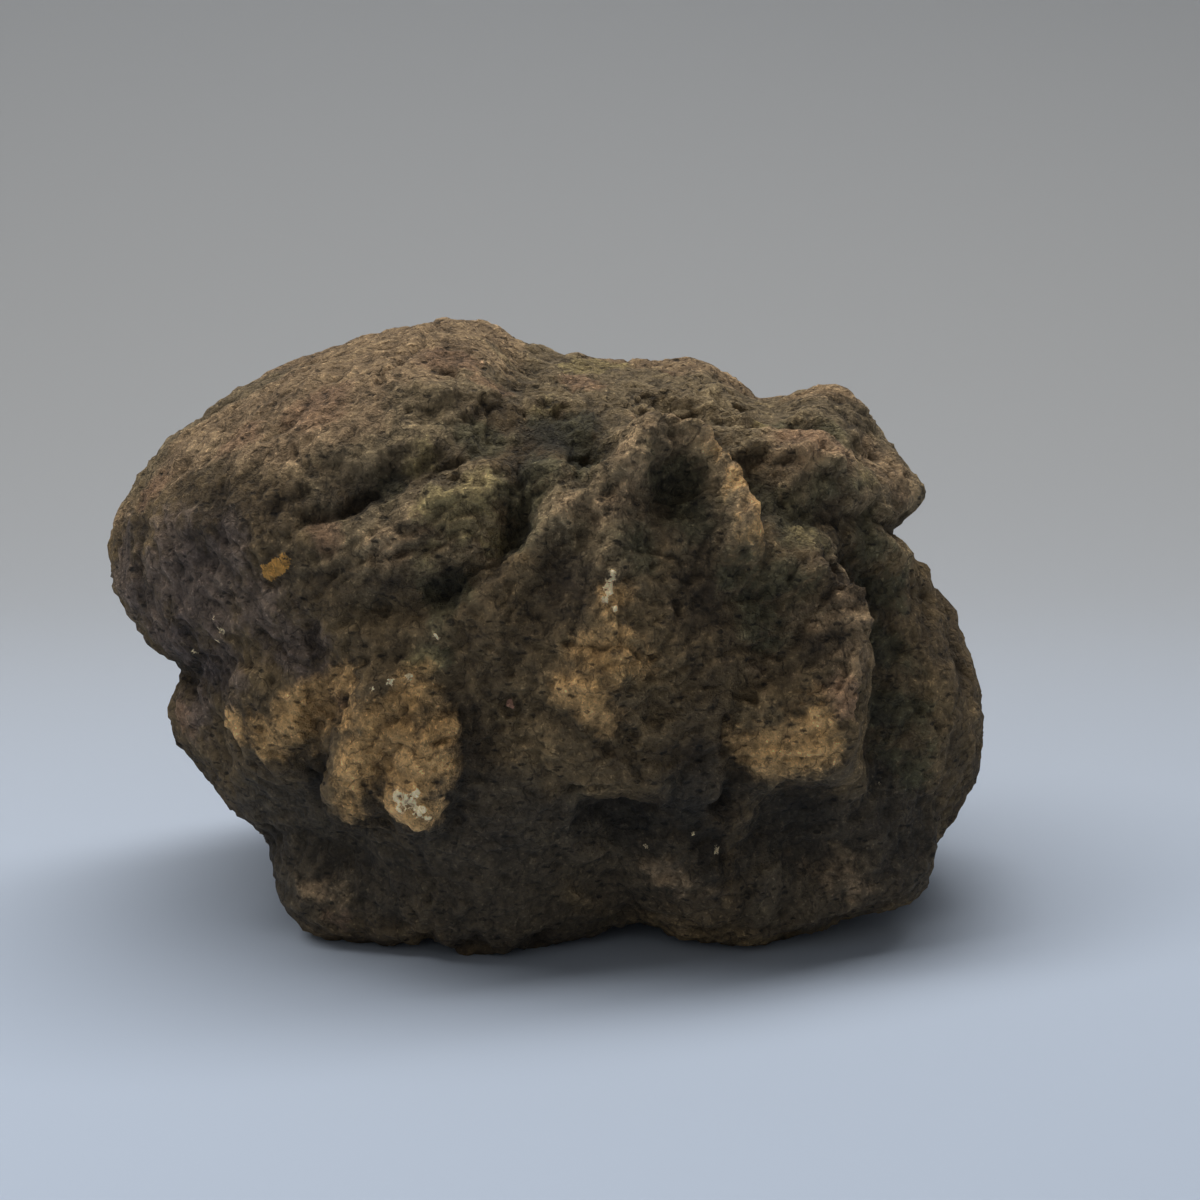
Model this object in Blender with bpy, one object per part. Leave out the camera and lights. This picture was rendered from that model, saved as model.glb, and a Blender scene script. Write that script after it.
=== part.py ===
"""A whole, uncut geode: one knobbly stone about 200 mm long, resting on worn flats under its lobes.

Its skin never folds back over itself, so it is told as a distance from its middle in every direction.
A plain form comes first, from the outline of the show side and a depth. On it stand mounds and hollows,
then long ribs, valleys, creases and sharp lips, and last the lumps and pits of the crust.
The forms are given in millimetres: +X to the right of the show side, +Z up, and the show side looks to -Y.
"""

import bmesh
import bpy
import numpy as np

NAME = "geode"
MM = 0.001

# The plain form
MIDDLE = np.array((0.0, 0.0, 58.0))
HALF_DEPTH = 74.0
SQUARENESS = 2.3
RIM_REACH_INWARDS = 0.42
SHARP_RIM_DEGREES = 1.25
SOFT_RIM_DEGREES = 17.0
RIM = (
    # left point and the long left shoulder
    (-100, 75), (-98, 85), (-93, 93), (-84, 102), (-71, 110.5), (-60, 117), (-47, 121.5), (-36, 125.5),
    (-22, 128),
    # step down to the saddle, then the low crest
    (-15, 125.5), (-8, 121), (-1, 118), (10, 116.5), (22, 116), (34, 114.5), (43, 110.5), (50, 108),
    # right knob and the gap under it
    (57, 111.5), (64, 112.5), (70, 108), (72, 102), (78, 98), (82, 91), (82.5, 85), (78, 80),
    # right flank
    (82, 72), (88, 66), (93, 58), (98, 48), (100, 39), (98, 30), (94, 17), (86, 8),
    # under side
    (60, 5), (20, 5), (-20, 6), (-46, 6), (-58, 9),
    # lower left lobe and the notch over it
    (-64, 16), (-70, 23), (-78, 31), (-80.5, 38), (-80, 46), (-83, 53), (-91, 63), (-98, 70),
)

# Mounds and hollows: place, radius, height and crest.
# A place is (x, z) on the show side, or (x, y, z) anywhere.
# A crest of 1 is a sharp top, 0 a round one, and -1 a flat top with steep sides.
LEFT_SHOULDER = (
    ((-52, 101), 46, 3.0, 0), ((-80, 84), 24, 2.0, 0), ((-26, 116), 24, 2.5, 0), ((-58, 92), 18, 2.0, 0),
)
LOWER_LEFT_LOBE = (((-76, 45), 15, 4.0, 0), ((-56, 50), 19, 3.5, 0), ((-62, 30), 22, 2.0, 0))
BOSS = (((-28, 49), 18, 3.8, -0.4), ((-34, 41), 11, 2.0, -0.5))
MID_SWELLS = (
    ((9, 62), 16, 2.5, 0), ((26, 58), 17, 2.0, 0), ((-8, 56), 14, -0.5, 0), ((34, 78), 15, -2.5, 0),
    ((-20, 95), 9, 2.0, 0), ((1, 103), 7, 3.0, 0), ((-12, 72), 16, 1.5, 0),
)
DEEP_HOLLOWS = (
    ((29, 97), 12, -3.0, 0), ((-3, 92), 8, -4.5, 0), ((-7, 88), 6, -2.0, 0), ((-20, 80), 7, -2.5, 0),
    ((9, 105), 8, -3.0, 0), ((-34, 97), 4.5, -2.5, 0), ((57, 108), 7, -3.0, 0), ((-16, 99), 4, -2.0, 0),
)
RIGHT_KNOB = (
    ((72, 103), 17, 3.0, 0), ((77, 95), 13, 3.0, -0.3), ((62, 112), 11, 2.0, 0), ((33, 114), 9, 2.0, 0),
)
RIGHT_LOBE = (((50, 49), 14, 4.5, -0.5), ((86, 45), 24, 2.5, 0), ((56, 101), 10, 2.5, 0))
OVERHANGS = (((17, 32), 12, -7.5, -0.2), ((52, 32), 13, -5.0, 0), ((34, 33), 10, -1.5, 0))
LOW_FRONT = (((27, 20), 12, 6.0, -0.3), ((-12, -60, 26), 30, 6.0, 0))
FEET = (
    ((-41, -43, 8), 22, 15.0, -0.35), ((-8, -54, 2), 28, 12.8, 0), ((44, -53, 4), 27, 13.0, 0),
    ((74, -44, 9), 27, 12.0, 0), ((-24, 36, 4), 24, 11.2, 0), ((38, 34, 4), 24, 6.6, 0),
    ((18, -56, 3), 20, 3.5, 0), ((-28, -56, 12), 16, 3.0, 0),
)
BACK_LOBES = (
    ((-52, 50, 84), 30, 3.0, -0.4), ((8, 70, 88), 26, 3.5, -0.4), ((60, 45, 76), 24, 4.0, -0.3),
    ((-26, 70, 42), 22, 4.0, -0.4), ((34, 68, 38), 22, 3.5, -0.4), ((-80, 22, 60), 18, 3.0, -0.3),
    ((-14, 30, 122), 20, 2.5, -0.3), ((36, 22, 112), 18, 3.0, -0.3), ((72, 62, 50), 12, 3.0, 0),
    ((-58, 58, 52), 12, 3.5, 0), ((20, 74, 62), 10, -3.5, 0), ((-38, 66, 66), 9, -3.0, 0),
)
MOUNDS = (
    LEFT_SHOULDER + LOWER_LEFT_LOBE + BOSS + MID_SWELLS + DEEP_HOLLOWS + RIGHT_KNOB + RIGHT_LOBE + OVERHANGS
    + LOW_FRONT + FEET + BACK_LOBES
)

# Long forms: the line that they follow, half width, height at its two ends, and the crest.
VALLEYS = (
    # under the left shoulder, from the left flank up to the saddle
    ([(-62, 81), (-50, 88), (-40, 93), (-28, 99), (-18, 104), (-10, 110), (-2, 121)], 9, -1.0, -5.5, 0.2),
    ([(-45, 91), (-38, 95), (-33, 99), (-29, 103)], 4, -1.0, -3.5, 0.3),
    ([(-60, 89), (-68, 84), (-76, 75)], 5, -0.8, -1.6, 0.3),
    # from the saddle down through the deep hollow to the left
    ([(3, 113), (-2, 106), (-3, 97), (-6, 90), (-14, 84), (-24, 79), (-34, 76)], 7, -3.5, -3.0, 0.2),
    # right of the arch, and behind its top
    ([(43, 101), (45, 96), (48, 91), (48, 85), (44, 79)], 8, -4.5, -1.0, 0.1),
    ([(23, 114), (31, 112), (38, 110), (44, 108), (52, 107), (61, 107)], 6, -4.0, -3.0, 0.2),
    # under the right knob
    ([(84, 82), (77, 87), (70, 90), (62, 92), (54, 92)], 8, -7.5, -3.0, 0.2),
    # right of the blocky rib
    ([(67, 82), (72, 74), (74, 64), (74, 54), (72, 42)], 11, -4.0, -5.5, 0.1),
    ([(-14, 64), (-12, 52), (-15, 38)], 9, -1.0, -2.0, 0.1),
    # round the back, and down it
    ([(-88, 26, 80), (-62, 52, 72), (-38, 68, 54), (-14, 75, 52)], 9, -2.0, -4.5, 0.2),
    ([(-14, 75, 52), (10, 74, 66), (28, 70, 74), (48, 62, 62), (66, 50, 44)], 8, -4.0, -2.5, 0.2),
    ([(-6, 25, 122), (-16, 55, 105), (-14, 70, 80), (-4, 75, 56), (4, 66, 24)], 8, -2.0, -4.0, 0.2),
    ([(30, 40, 112), (40, 58, 96), (42, 66, 74), (54, 62, 58)], 7, -3.0, -3.0, 0.2),
)
RIBS = (
    # lumpy band under the shoulder's valley
    ([(-58, 84), (-44, 88), (-28, 92), (-17, 97), (-10, 101)], 8, 2.5, 4.0, 0.1),
    ([(-52, 76), (-38, 80), (-26, 86)], 8, 1.5, 2.5, 0.1),
    # right edge of the deep hollow
    ([(4, 101), (4, 96), (0, 91), (-4, 86)], 6, 2.0, 3.5, 0.5),
    # arch round the upper hollow
    ([(13, 100), (17, 105), (23, 107), (30, 106), (35, 102), (38, 97), (40, 90)], 7, 4.0, 6.0, 0.3),
    # centre rib, from inside the arch down to the middle
    ([(21, 103), (16, 98), (14, 92), (13, 84), (13, 76), (14, 69), (10, 60)], 11, 6.0, 3.0, 0.5),
    # shoulder behind the arch
    ([(45, 106), (52, 105), (58, 103), (65, 98)], 8, 3.0, 3.5, 0.2),
    # crest of the right lobe
    ([(60, 93), (68, 89), (76, 83), (85, 72), (93, 58)], 11, 3.0, 3.0, 0.2),
    # blocky rib
    ([(49, 86), (54, 83), (58, 77), (59, 67), (58, 56), (56, 46)], 11, 3.5, 5.5, -0.5),
    # layers of the right flank
    ([(81, 74), (84, 62), (84, 50), (80, 37)], 6, 2.5, 2.0, 0.3),
    ([(88, 68), (92, 55), (91, 42), (86, 30)], 6, 2.0, 2.0, 0.3),
    # two fingers of the boss
    ([(-32, 61), (-34, 48), (-37, 34)], 7, 1.5, 3.0, 0.3),
    ([(-26, 60), (-22, 48), (-24, 35)], 8, 1.5, 4.0, 0.3),
    # lip over the dark hollow
    ([(2, 49), (11, 46), (21, 43)], 8, 3.5, 3.5, 0.3),
    # ribs of the back
    ([(-40, 58, 96), (-34, 66, 80), (-40, 66, 62)], 8, 2.0, 3.0, 0.3),
    ([(24, 62, 98), (26, 70, 82), (20, 74, 68)], 7, 3.0, 2.0, 0.3),
    ([(66, 52, 70), (74, 48, 52), (70, 46, 32)], 8, 2.0, 3.0, 0.3),
    # ledge at the lower right
    ([(47, 15), (58, 16), (70, 19), (80, 26)], 6, 3.0, 2.0, 0.4),
)
CREASES = (
    ([(45, 78), (47, 69), (44, 61)], 6, -1.0, -1.5, 0.2),
    ([(-87, 52), (-78, 57), (-69, 62), (-60, 66), (-48, 68)], 8, -5.0, -2.0, 0.2),
    ([(-67, 58), (-68, 50), (-66, 42)], 6, -1.5, -1.5, 0.2),
    ([(-43, 64), (-44, 54), (-45, 45), (-46, 36)], 5, -1.5, -2.5, 0.3),
    ([(-30, 46), (-30, 33)], 4, -1.0, -2.0, 0.3),
    ([(39, 52), (40, 44), (39, 36)], 5, -2.0, -4.0, 0.1),
    ([(44, 26), (54, 23), (62, 24)], 6, -3.5, -2.0, 0.2),
)
LONG_FORMS = VALLEYS + RIBS + CREASES

# Sharp lips: line, reach of the gentle side on the line's left, reach of the steep side, and height
LIPS = (
    # arch over the upper hollow, from the foot of its right leg
    (
        [(41, 86), (40, 93), (38, 98), (35, 102), (31, 106), (24, 107), (18, 106), (15, 103), (12, 96)],
        11, 3, 4.5,
    ),
    # ridge between the arch's left leg and the deep hollow
    ([(12, 98), (7, 96), (2, 92), (-3, 87)], 9, 3, 3.0),
    # shoulder behind the arch, and the underside of the right knob
    ([(35, 109), (42, 105), (52, 102), (61, 98)], 9, 4, 3.0),
    ([(56, 96), (62, 94), (69, 92), (76, 89), (83, 86)], 14, 3, 4.0),
    # right and upper edge of the blocky rib
    ([(57, 46), (58, 52), (59, 60), (60, 69), (62, 75), (57, 79), (53, 82), (48, 86)], 12, 3, 3.5),
    # steps of the left shoulder's lower side
    ([(-29, 100), (-35, 98), (-41, 96), (-48, 92)], 7, 3, 2.0),
    ([(-26, 88), (-20, 87), (-12, 88), (-7, 89)], 8, 4, 2.0),
    ([(-82, 89), (-66, 88), (-55, 90), (-44, 89)], 14, 7, 1.5),
    ([(-30, 115), (-18, 114), (-9, 116), (-5, 112)], 9, 4, 2.0),
    # edge of the boss
    ([(-38, 56), (-39, 45), (-40, 36), (-37, 32), (-33, 36), (-29, 40), (-25, 38)], 10, 3.5, 2.0),
    ([(-29, 40), (-25, 38), (-21, 35), (-18, 42), (-16, 48), (-17, 57)], 10, 3.5, 2.5),
    # lips over the dark hollows
    ([(5, 44), (13, 38), (22, 36), (30, 38), (42, 39)], 12, 4, 3.0),
    ([(40, 40), (48, 37), (56, 37), (65, 43)], 10, 4, 2.0),
    # ledge at the lower right, and the lower edge of the low front
    ([(47, 17), (54, 18), (61, 20), (68, 25)], 6, 3, 2.0),
    ([(-31, 22), (-24, 16), (-16, 12), (-8, 9)], 12, 5, 2.5),
)
LIP_FADE = 0.14

# The crust: how far the forms wander from their drawn lines, lump sizes and heights, and the pits.
# The back of the stone has the same lumps, but higher, because it has fewer forms placed by hand.
WANDER = ((16.0, 2.2), (6.0, 0.8))
BACK_STARTS = -0.2
BACK_IS_FULL = 0.5
BROAD_LUMP = 42.0
BROAD_HEIGHT = 1.2
BROAD_HEIGHT_BEHIND = 4.7
LUMP = 20.0
LUMP_HEIGHT = 1.0
LUMP_HEIGHT_BEHIND = 2.2
RIDGE_SPACING = 13.0
RIDGE_HEIGHT = 1.3
SMALL_LUMP = 8.0
SMALL_LUMP_HEIGHT = 0.7
PIT_SPACING = 11.0
PIT_DEPTH = 1.6
PIT_SHARE = 0.55
PIT_RADIUS = 0.42
PIT_SLOPE = 0.32
PIT_STRAY = 0.35

# The faceted solid
SPHERE_STEPS = 7
SEARCH_STEPS = 24
FACETS = 9300
STONE_COLOUR = (0.085, 0.064, 0.044, 1.0)
STONE_ROUGHNESS = 0.85

TURN = 2 * np.pi
SHUFFLED = np.random.default_rng(7).permutation(256)
LEANS = np.random.default_rng(8).normal(size=(256, 3))
LEANS /= np.linalg.norm(LEANS, axis=1, keepdims=True)


def rim_tables():
    """The outline's reach from the middle for 720 bearings: as drawn, and averaged over a wide window."""
    away = np.array(RIM, float) - MIDDLE[[0, 2]]
    bearing = np.arctan2(away[:, 1], away[:, 0]) % TURN
    order = np.argsort(bearing)
    bearings = np.linspace(0, TURN, 720, endpoint=False)
    drawn = np.interp(bearings, bearing[order], np.hypot(*away.T)[order], period=TURN)
    steps = np.arange(-120, 121)
    tables = []
    for degrees in (SHARP_RIM_DEGREES, SOFT_RIM_DEGREES):
        weight = np.exp(-0.5 * (steps / 2 / degrees) ** 2)
        wrapped = np.concatenate((drawn[-120:], drawn, drawn[:120]))
        tables.append(np.convolve(wrapped, weight / weight.sum(), mode="valid"))
    return bearings, tables[0], tables[1]


BEARINGS, SHARP_RIM, SOFT_RIM = rim_tables()


def plain_reach(ways):
    """Reach of the plain form: a squarish ellipsoid whose outline is the rim, softened away from the rim."""
    flat = np.hypot(ways[:, 0], ways[:, 2])
    bearing = np.arctan2(ways[:, 2], ways[:, 0]) % TURN
    near_rim = np.exp(-((ways[:, 1] / RIM_REACH_INWARDS) ** 2))
    sharp = np.interp(bearing, BEARINGS, SHARP_RIM, period=TURN)
    soft = np.interp(bearing, BEARINGS, SOFT_RIM, period=TURN)
    rim = soft + (sharp - soft) * near_rim
    across = (flat / rim) ** SQUARENESS
    through = (np.abs(ways[:, 1]) / HALF_DEPTH) ** SQUARENESS
    return (across + through) ** (-1 / SQUARENESS)


def reach_past_skin(place):
    """How far a place lies outside the plain form along its own direction, and that direction."""
    away = np.array(place, float) - MIDDLE
    reach = np.linalg.norm(away)
    way = away / reach
    return reach - plain_reach(way[None])[0], way


def on_skin(place):
    """Moves a place onto the plain form: (x, z) straight back from the front, (x, y, z) to the middle."""
    if len(place) == 3:
        past, way = reach_past_skin(place)
        return np.array(place, float) - past * way
    x, z = place
    outside = -1.3 * HALF_DEPTH
    inside = 0.0
    for _ in range(SEARCH_STEPS):
        y = (outside + inside) / 2
        if reach_past_skin((x, y, z))[0] > 0:
            outside = y
        else:
            inside = y
    return np.array((x, y, z))


def swell(share, crest):
    """1 in the middle of a form and 0 at its edge: round topped, running up to a crest, or flat topped."""
    share = np.minimum(share, 1.0)
    other = (1 - share) ** 2 if crest > 0 else (1 - share**5) ** 2
    return (1 - abs(crest)) * (1 - share**2) ** 2 + abs(crest) * other


def mound_height(points, place, radius, height, crest):
    gap = np.linalg.norm(points - on_skin(place), axis=1)
    return height * swell(gap / radius, crest)


def gap_to_line(points, line):
    """Distance from each point to a line on the skin, how far along it, 0 to 1, and whether left of it."""
    ends = np.array([on_skin(place) for place in line])
    lengths = np.linalg.norm(np.diff(ends, axis=0), axis=1)
    passed = np.concatenate(((0.0,), np.cumsum(lengths))) / lengths.sum()
    nearest = np.full(len(points), np.inf)
    along = np.zeros(len(points))
    on_left = np.zeros(len(points), bool)
    for start, stop, from_share, to_share in zip(ends[:-1], ends[1:], passed[:-1], passed[1:]):
        run = stop - start
        part = np.clip((points - start) @ run / (run @ run), 0, 1)
        gap = np.linalg.norm(points - start - part[:, None] * run, axis=1)
        left = (np.cross(run, points - start) * (points - MIDDLE)).sum(axis=1) > 0
        closer = gap < nearest
        nearest = np.where(closer, gap, nearest)
        along = np.where(closer, from_share + part * (to_share - from_share), along)
        on_left = np.where(closer, left, on_left)
    return nearest, along, on_left


def long_form_height(points, line, half_width, first, last, crest):
    """Height of a rib or a valley, from each point's distance to the line and its place along it."""
    nearest, along, _ = gap_to_line(points, line)
    return (first + (last - first) * along) * swell(nearest / half_width, crest)


def lip_height(points, line, gentle, steep, height):
    """A sharp lip: seen from outside, it slopes gently to the left of its line and drops to the right."""
    nearest, along, on_left = gap_to_line(points, line)
    share = np.minimum(nearest / np.where(on_left, gentle, steep), 1.0)
    fade = np.clip(np.minimum(along, 1 - along) / LIP_FADE, 0, 1)
    return height * fade * (1 - share) ** 2


def cell_code(cell):
    """A number from 0 to 255 for each cell of a grid, the same on every run."""
    column = SHUFFLED[cell[:, 0] & 255]
    row = SHUFFLED[(column + cell[:, 1]) & 255]
    return SHUFFLED[(row + cell[:, 2]) & 255]


def lumps(points, size, shift):
    """Gradient noise, about -1 to 1, with lumps about one size across."""
    scaled = points / size + shift
    cell = np.floor(scaled).astype(int)
    part = scaled - cell
    fade = part**3 * (part * (part * 6 - 15) + 10)
    total = np.zeros(len(points))
    for corner in np.ndindex(2, 2, 2):
        lean = LEANS[cell_code(cell + corner)]
        weight = np.prod(np.where(corner, fade, 1 - fade), axis=1)
        total += weight * ((part - corner) * lean).sum(axis=1)
    return 1.5 * total


def ridges(points, size, shift):
    """Sharp ridges that wind round shallow bowls, about -0.5 to 0.5."""
    return 0.5 - np.abs(lumps(points, size, shift))


def pit_floor(points, spacing, share, shift):
    """1 on the floor of scattered pits and 0 between them. Only a share of the grid's cells holds a pit."""
    scaled = points / spacing + shift
    cell = np.floor(scaled).astype(int)
    nearest = np.full(len(points), 9.0)
    for step in np.ndindex(3, 3, 3):
        around = cell + np.array(step) - 1
        code = cell_code(around)
        spot = around + 0.5 + PIT_STRAY * LEANS[code]
        gap = np.linalg.norm(scaled - spot, axis=1)
        nearest = np.where(SHUFFLED[code] < 256 * share, np.minimum(nearest, gap), nearest)
    slope = np.clip((PIT_RADIUS - nearest) / PIT_SLOPE, 0, 1)
    return slope * slope * (3 - 2 * slope)


def stone_points(ways):
    """The finished surface in millimetres, one point for each direction from the middle."""
    plain = MIDDLE + ways * plain_reach(ways)[:, None]
    wandered = plain.copy()
    for size, reach in WANDER:
        for axis in range(3):
            wandered[:, axis] += reach * lumps(plain, size, 10 * axis + 3.3)
    height = np.zeros(len(ways))
    for mound in MOUNDS:
        height += mound_height(wandered, *mound)
    for form in LONG_FORMS:
        height += long_form_height(wandered, *form)
    for lip in LIPS:
        height += lip_height(wandered, *lip)
    behind = np.clip((ways[:, 1] - BACK_STARTS) / (BACK_IS_FULL - BACK_STARTS), 0, 1)
    broad = BROAD_HEIGHT + (BROAD_HEIGHT_BEHIND - BROAD_HEIGHT) * behind
    height += broad * lumps(plain, BROAD_LUMP, 5.5)
    lumpy = LUMP_HEIGHT + (LUMP_HEIGHT_BEHIND - LUMP_HEIGHT) * behind
    height += lumpy * lumps(plain, LUMP, 1.5)
    height += RIDGE_HEIGHT * ridges(plain, RIDGE_SPACING, 2.5)
    height += SMALL_LUMP_HEIGHT * lumps(wandered, SMALL_LUMP, 4.5)
    height -= PIT_DEPTH * pit_floor(wandered, PIT_SPACING, PIT_SHARE, 0.3)
    return plain + ways * height[:, None]


def clear_scene():
    for thing in list(bpy.data.objects):
        bpy.data.objects.remove(thing, do_unlink=True)


def stone_material():
    material = bpy.data.materials.new("weathered stone")
    material.use_nodes = True
    shader = material.node_tree.nodes["Principled BSDF"]
    shader.inputs["Base Color"].default_value = STONE_COLOUR
    shader.inputs["Roughness"].default_value = STONE_ROUGHNESS
    shader.inputs["Metallic"].default_value = 0.0
    return material


def fine_stone(collection):
    """A fine sphere pulled out to the stone's surface, as an object in metres."""
    body = bmesh.new()
    bmesh.ops.create_icosphere(body, subdivisions=SPHERE_STEPS, radius=1.0)
    mesh = bpy.data.meshes.new(NAME)
    body.to_mesh(mesh)
    body.free()
    ways = np.empty(len(mesh.vertices) * 3)
    mesh.vertices.foreach_get("co", ways)
    ways = ways.reshape(-1, 3)
    ways /= np.linalg.norm(ways, axis=1, keepdims=True)
    mesh.vertices.foreach_set("co", (stone_points(ways) * MM).ravel())
    mesh.update()
    stone = bpy.data.objects.new(NAME, mesh)
    collection.objects.link(stone)
    return stone


def thin_out(stone):
    """Leaves the facets that tell the form, closest together on ribs and in hollows."""
    decimate = stone.modifiers.new("fewer facets", "DECIMATE")
    decimate.ratio = FACETS / len(stone.data.polygons)
    graph = bpy.context.evaluated_depsgraph_get()
    thinned = bpy.data.meshes.new_from_object(stone.evaluated_get(graph))
    stone.modifiers.clear()
    stone.data = thinned


def wear_feet_flat(stone):
    """Cuts the stone off level at the surface it rests on, which leaves a flat under each foot."""
    body = bmesh.new()
    body.from_mesh(stone.data)
    everything = body.verts[:] + body.edges[:] + body.faces[:]
    bmesh.ops.bisect_plane(body, geom=everything, plane_co=(0, 0, 0), plane_no=(0, 0, 1), clear_inner=True)
    rims = [edge for edge in body.edges if edge.is_boundary]
    bmesh.ops.holes_fill(body, edges=rims, sides=0)
    bmesh.ops.recalc_face_normals(body, faces=body.faces)
    body.to_mesh(stone.data)
    body.free()


def centre(stone):
    """Puts the middle of the stone's box over the origin."""
    places = np.empty(len(stone.data.vertices) * 3)
    stone.data.vertices.foreach_get("co", places)
    places = places.reshape(-1, 3)
    places[:, :2] -= (places[:, :2].min(axis=0) + places[:, :2].max(axis=0)) / 2
    stone.data.vertices.foreach_set("co", places.ravel())
    stone.data.update()


def build():
    clear_scene()
    collection = bpy.data.collections.new(NAME)
    bpy.context.scene.collection.children.link(collection)
    stone = fine_stone(collection)
    thin_out(stone)
    wear_feet_flat(stone)
    centre(stone)
    stone.data.materials.clear()
    stone.data.materials.append(stone_material())
    return stone


build()
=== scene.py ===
# %% [markdown]
# # The looks of a whole, uncut geode
#
# The real thing is one knobbly stone, about 200 mm long. Mineral water filled a bubble in old rock, the rock
# round it weathered away, and what is left is the lining's outside: a rough brown crust with ribs, hollows
# and pits, rubbed to ochre where it stands out and stained grey-green where damp dirt sits.
#
# The solid model already has the stone's main forms. This script gives it a fine skin in its place. The skin
# is one surface, worked out with numpy as a function of two parameters, and its colours come from masks that
# are worked out on the same grid, with grain added by nodes.

import math

import bpy
import numpy as np
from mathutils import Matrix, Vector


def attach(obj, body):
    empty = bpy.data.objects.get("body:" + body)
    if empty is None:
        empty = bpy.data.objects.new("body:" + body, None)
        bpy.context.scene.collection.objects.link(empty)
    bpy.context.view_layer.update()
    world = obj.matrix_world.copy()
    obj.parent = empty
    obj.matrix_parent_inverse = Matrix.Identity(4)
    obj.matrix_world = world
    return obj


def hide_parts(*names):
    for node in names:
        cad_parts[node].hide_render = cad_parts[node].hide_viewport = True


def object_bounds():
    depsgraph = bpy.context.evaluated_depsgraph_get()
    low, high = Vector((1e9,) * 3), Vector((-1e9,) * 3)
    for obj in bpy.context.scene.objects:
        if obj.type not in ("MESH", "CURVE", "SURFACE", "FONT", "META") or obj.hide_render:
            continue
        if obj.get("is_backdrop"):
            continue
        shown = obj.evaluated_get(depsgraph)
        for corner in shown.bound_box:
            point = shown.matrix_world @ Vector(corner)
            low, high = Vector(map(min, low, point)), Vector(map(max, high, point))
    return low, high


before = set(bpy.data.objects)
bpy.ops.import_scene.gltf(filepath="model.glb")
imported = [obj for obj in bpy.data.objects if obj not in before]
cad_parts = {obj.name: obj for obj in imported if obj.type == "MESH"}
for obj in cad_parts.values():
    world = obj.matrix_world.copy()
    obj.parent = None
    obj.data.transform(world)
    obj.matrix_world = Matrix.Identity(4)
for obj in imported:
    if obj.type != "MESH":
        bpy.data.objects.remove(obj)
SOLID_LOW, SOLID_HIGH = (np.array(corner) * 1000 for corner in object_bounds())
print("solid, mm:", (SOLID_HIGH - SOLID_LOW).round(1))

# %% [markdown]
# ## The plain form
#
# The stone never folds back over itself, so its skin can be told as a distance from its middle in every
# direction. Sculpting or a displaced sphere would do as well, but a formula is repeatable and each form keeps
# a real place in millimetres: +X to the right of the show side, +Z up, and the show side looks to -Y.
#
# The plain form is a squarish ellipsoid. Its outline is drawn, and softened away from the rim, so
# that the notches of the outline don't run round the whole stone.

# %% Rim of the show side
MIDDLE = np.array((0.0, 0.0, 58.0))
HALF_DEPTH = 74.0
SQUARENESS = 2.3
RIM_REACH_INWARDS = 0.42
SHARP_RIM_DEGREES = 1.25
SOFT_RIM_DEGREES = 17.0
RIM_BEARINGS = 720
RIM_WINDOW = 120
RIM = (
    # left point and the long left shoulder
    (-100, 75), (-98, 85), (-93, 93), (-84, 102), (-71, 110.5), (-60, 117), (-47, 121.5), (-36, 125.5),
    (-22, 128),
    # step down to the saddle, then the low crest
    (-15, 125.5), (-8, 121), (-1, 118), (10, 116.5), (22, 116), (34, 114.5), (43, 110.5), (50, 108),
    # right knob and the gap under it
    (57, 111.5), (64, 112.5), (70, 108), (72, 102), (78, 98), (82, 91), (82.5, 85), (78, 80),
    # right flank
    (82, 72), (88, 66), (93, 58), (98, 48), (100, 39), (98, 30), (94, 17), (86, 8),
    # under side
    (60, 5), (20, 5), (-20, 6), (-46, 6), (-58, 9),
    # lower left lobe and the notch over it
    (-64, 16), (-70, 23), (-78, 31), (-80.5, 38), (-80, 46), (-83, 53), (-91, 63), (-98, 70),
)
TURN = 2 * np.pi


def rim_tables():
    """The outline's reach from the middle at each bearing: nearly as drawn, and averaged widely."""
    away = np.array(RIM, float) - MIDDLE[[0, 2]]
    bearing = np.arctan2(away[:, 1], away[:, 0]) % TURN
    order = np.argsort(bearing)
    bearings = np.linspace(0, TURN, RIM_BEARINGS, endpoint=False)
    drawn = np.interp(bearings, bearing[order], np.hypot(*away.T)[order], period=TURN)
    wrapped = np.concatenate((drawn[-RIM_WINDOW:], drawn, drawn[:RIM_WINDOW]))
    degrees_off = np.arange(-RIM_WINDOW, RIM_WINDOW + 1) * 360 / RIM_BEARINGS
    tables = []
    for degrees in (SHARP_RIM_DEGREES, SOFT_RIM_DEGREES):
        weight = np.exp(-0.5 * (degrees_off / degrees) ** 2)
        tables.append(np.convolve(wrapped, weight / weight.sum(), mode="valid"))
    return bearings, tables[0], tables[1]


BEARINGS, SHARP_RIM, SOFT_RIM = rim_tables()
print("rim reach, mm:", SHARP_RIM.min().round(), "to", SHARP_RIM.max().round())


# %% Reach of the plain form
WELL_OUTSIDE = -1.3 * HALF_DEPTH
HALVINGS = 24


def plain_reach(ways):
    """(across^n + through^n)^(-1/n): across is the share of the rim's reach, through that of the depth."""
    flat = np.hypot(ways[:, 0], ways[:, 2])
    bearing = np.arctan2(ways[:, 2], ways[:, 0]) % TURN
    near_rim = np.exp(-((ways[:, 1] / RIM_REACH_INWARDS) ** 2))
    sharp = np.interp(bearing, BEARINGS, SHARP_RIM, period=TURN)
    soft = np.interp(bearing, BEARINGS, SOFT_RIM, period=TURN)
    rim = soft + (sharp - soft) * near_rim
    across = (flat / rim) ** SQUARENESS
    through = (np.abs(ways[:, 1]) / HALF_DEPTH) ** SQUARENESS
    return (across + through) ** (-1 / SQUARENESS)


def reach_past_skin(place):
    """How far a place lies outside the plain form along its own direction, and that direction."""
    away = np.array(place, float) - MIDDLE
    reach = np.linalg.norm(away)
    way = away / reach
    return reach - plain_reach(way[None])[0], way


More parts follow.
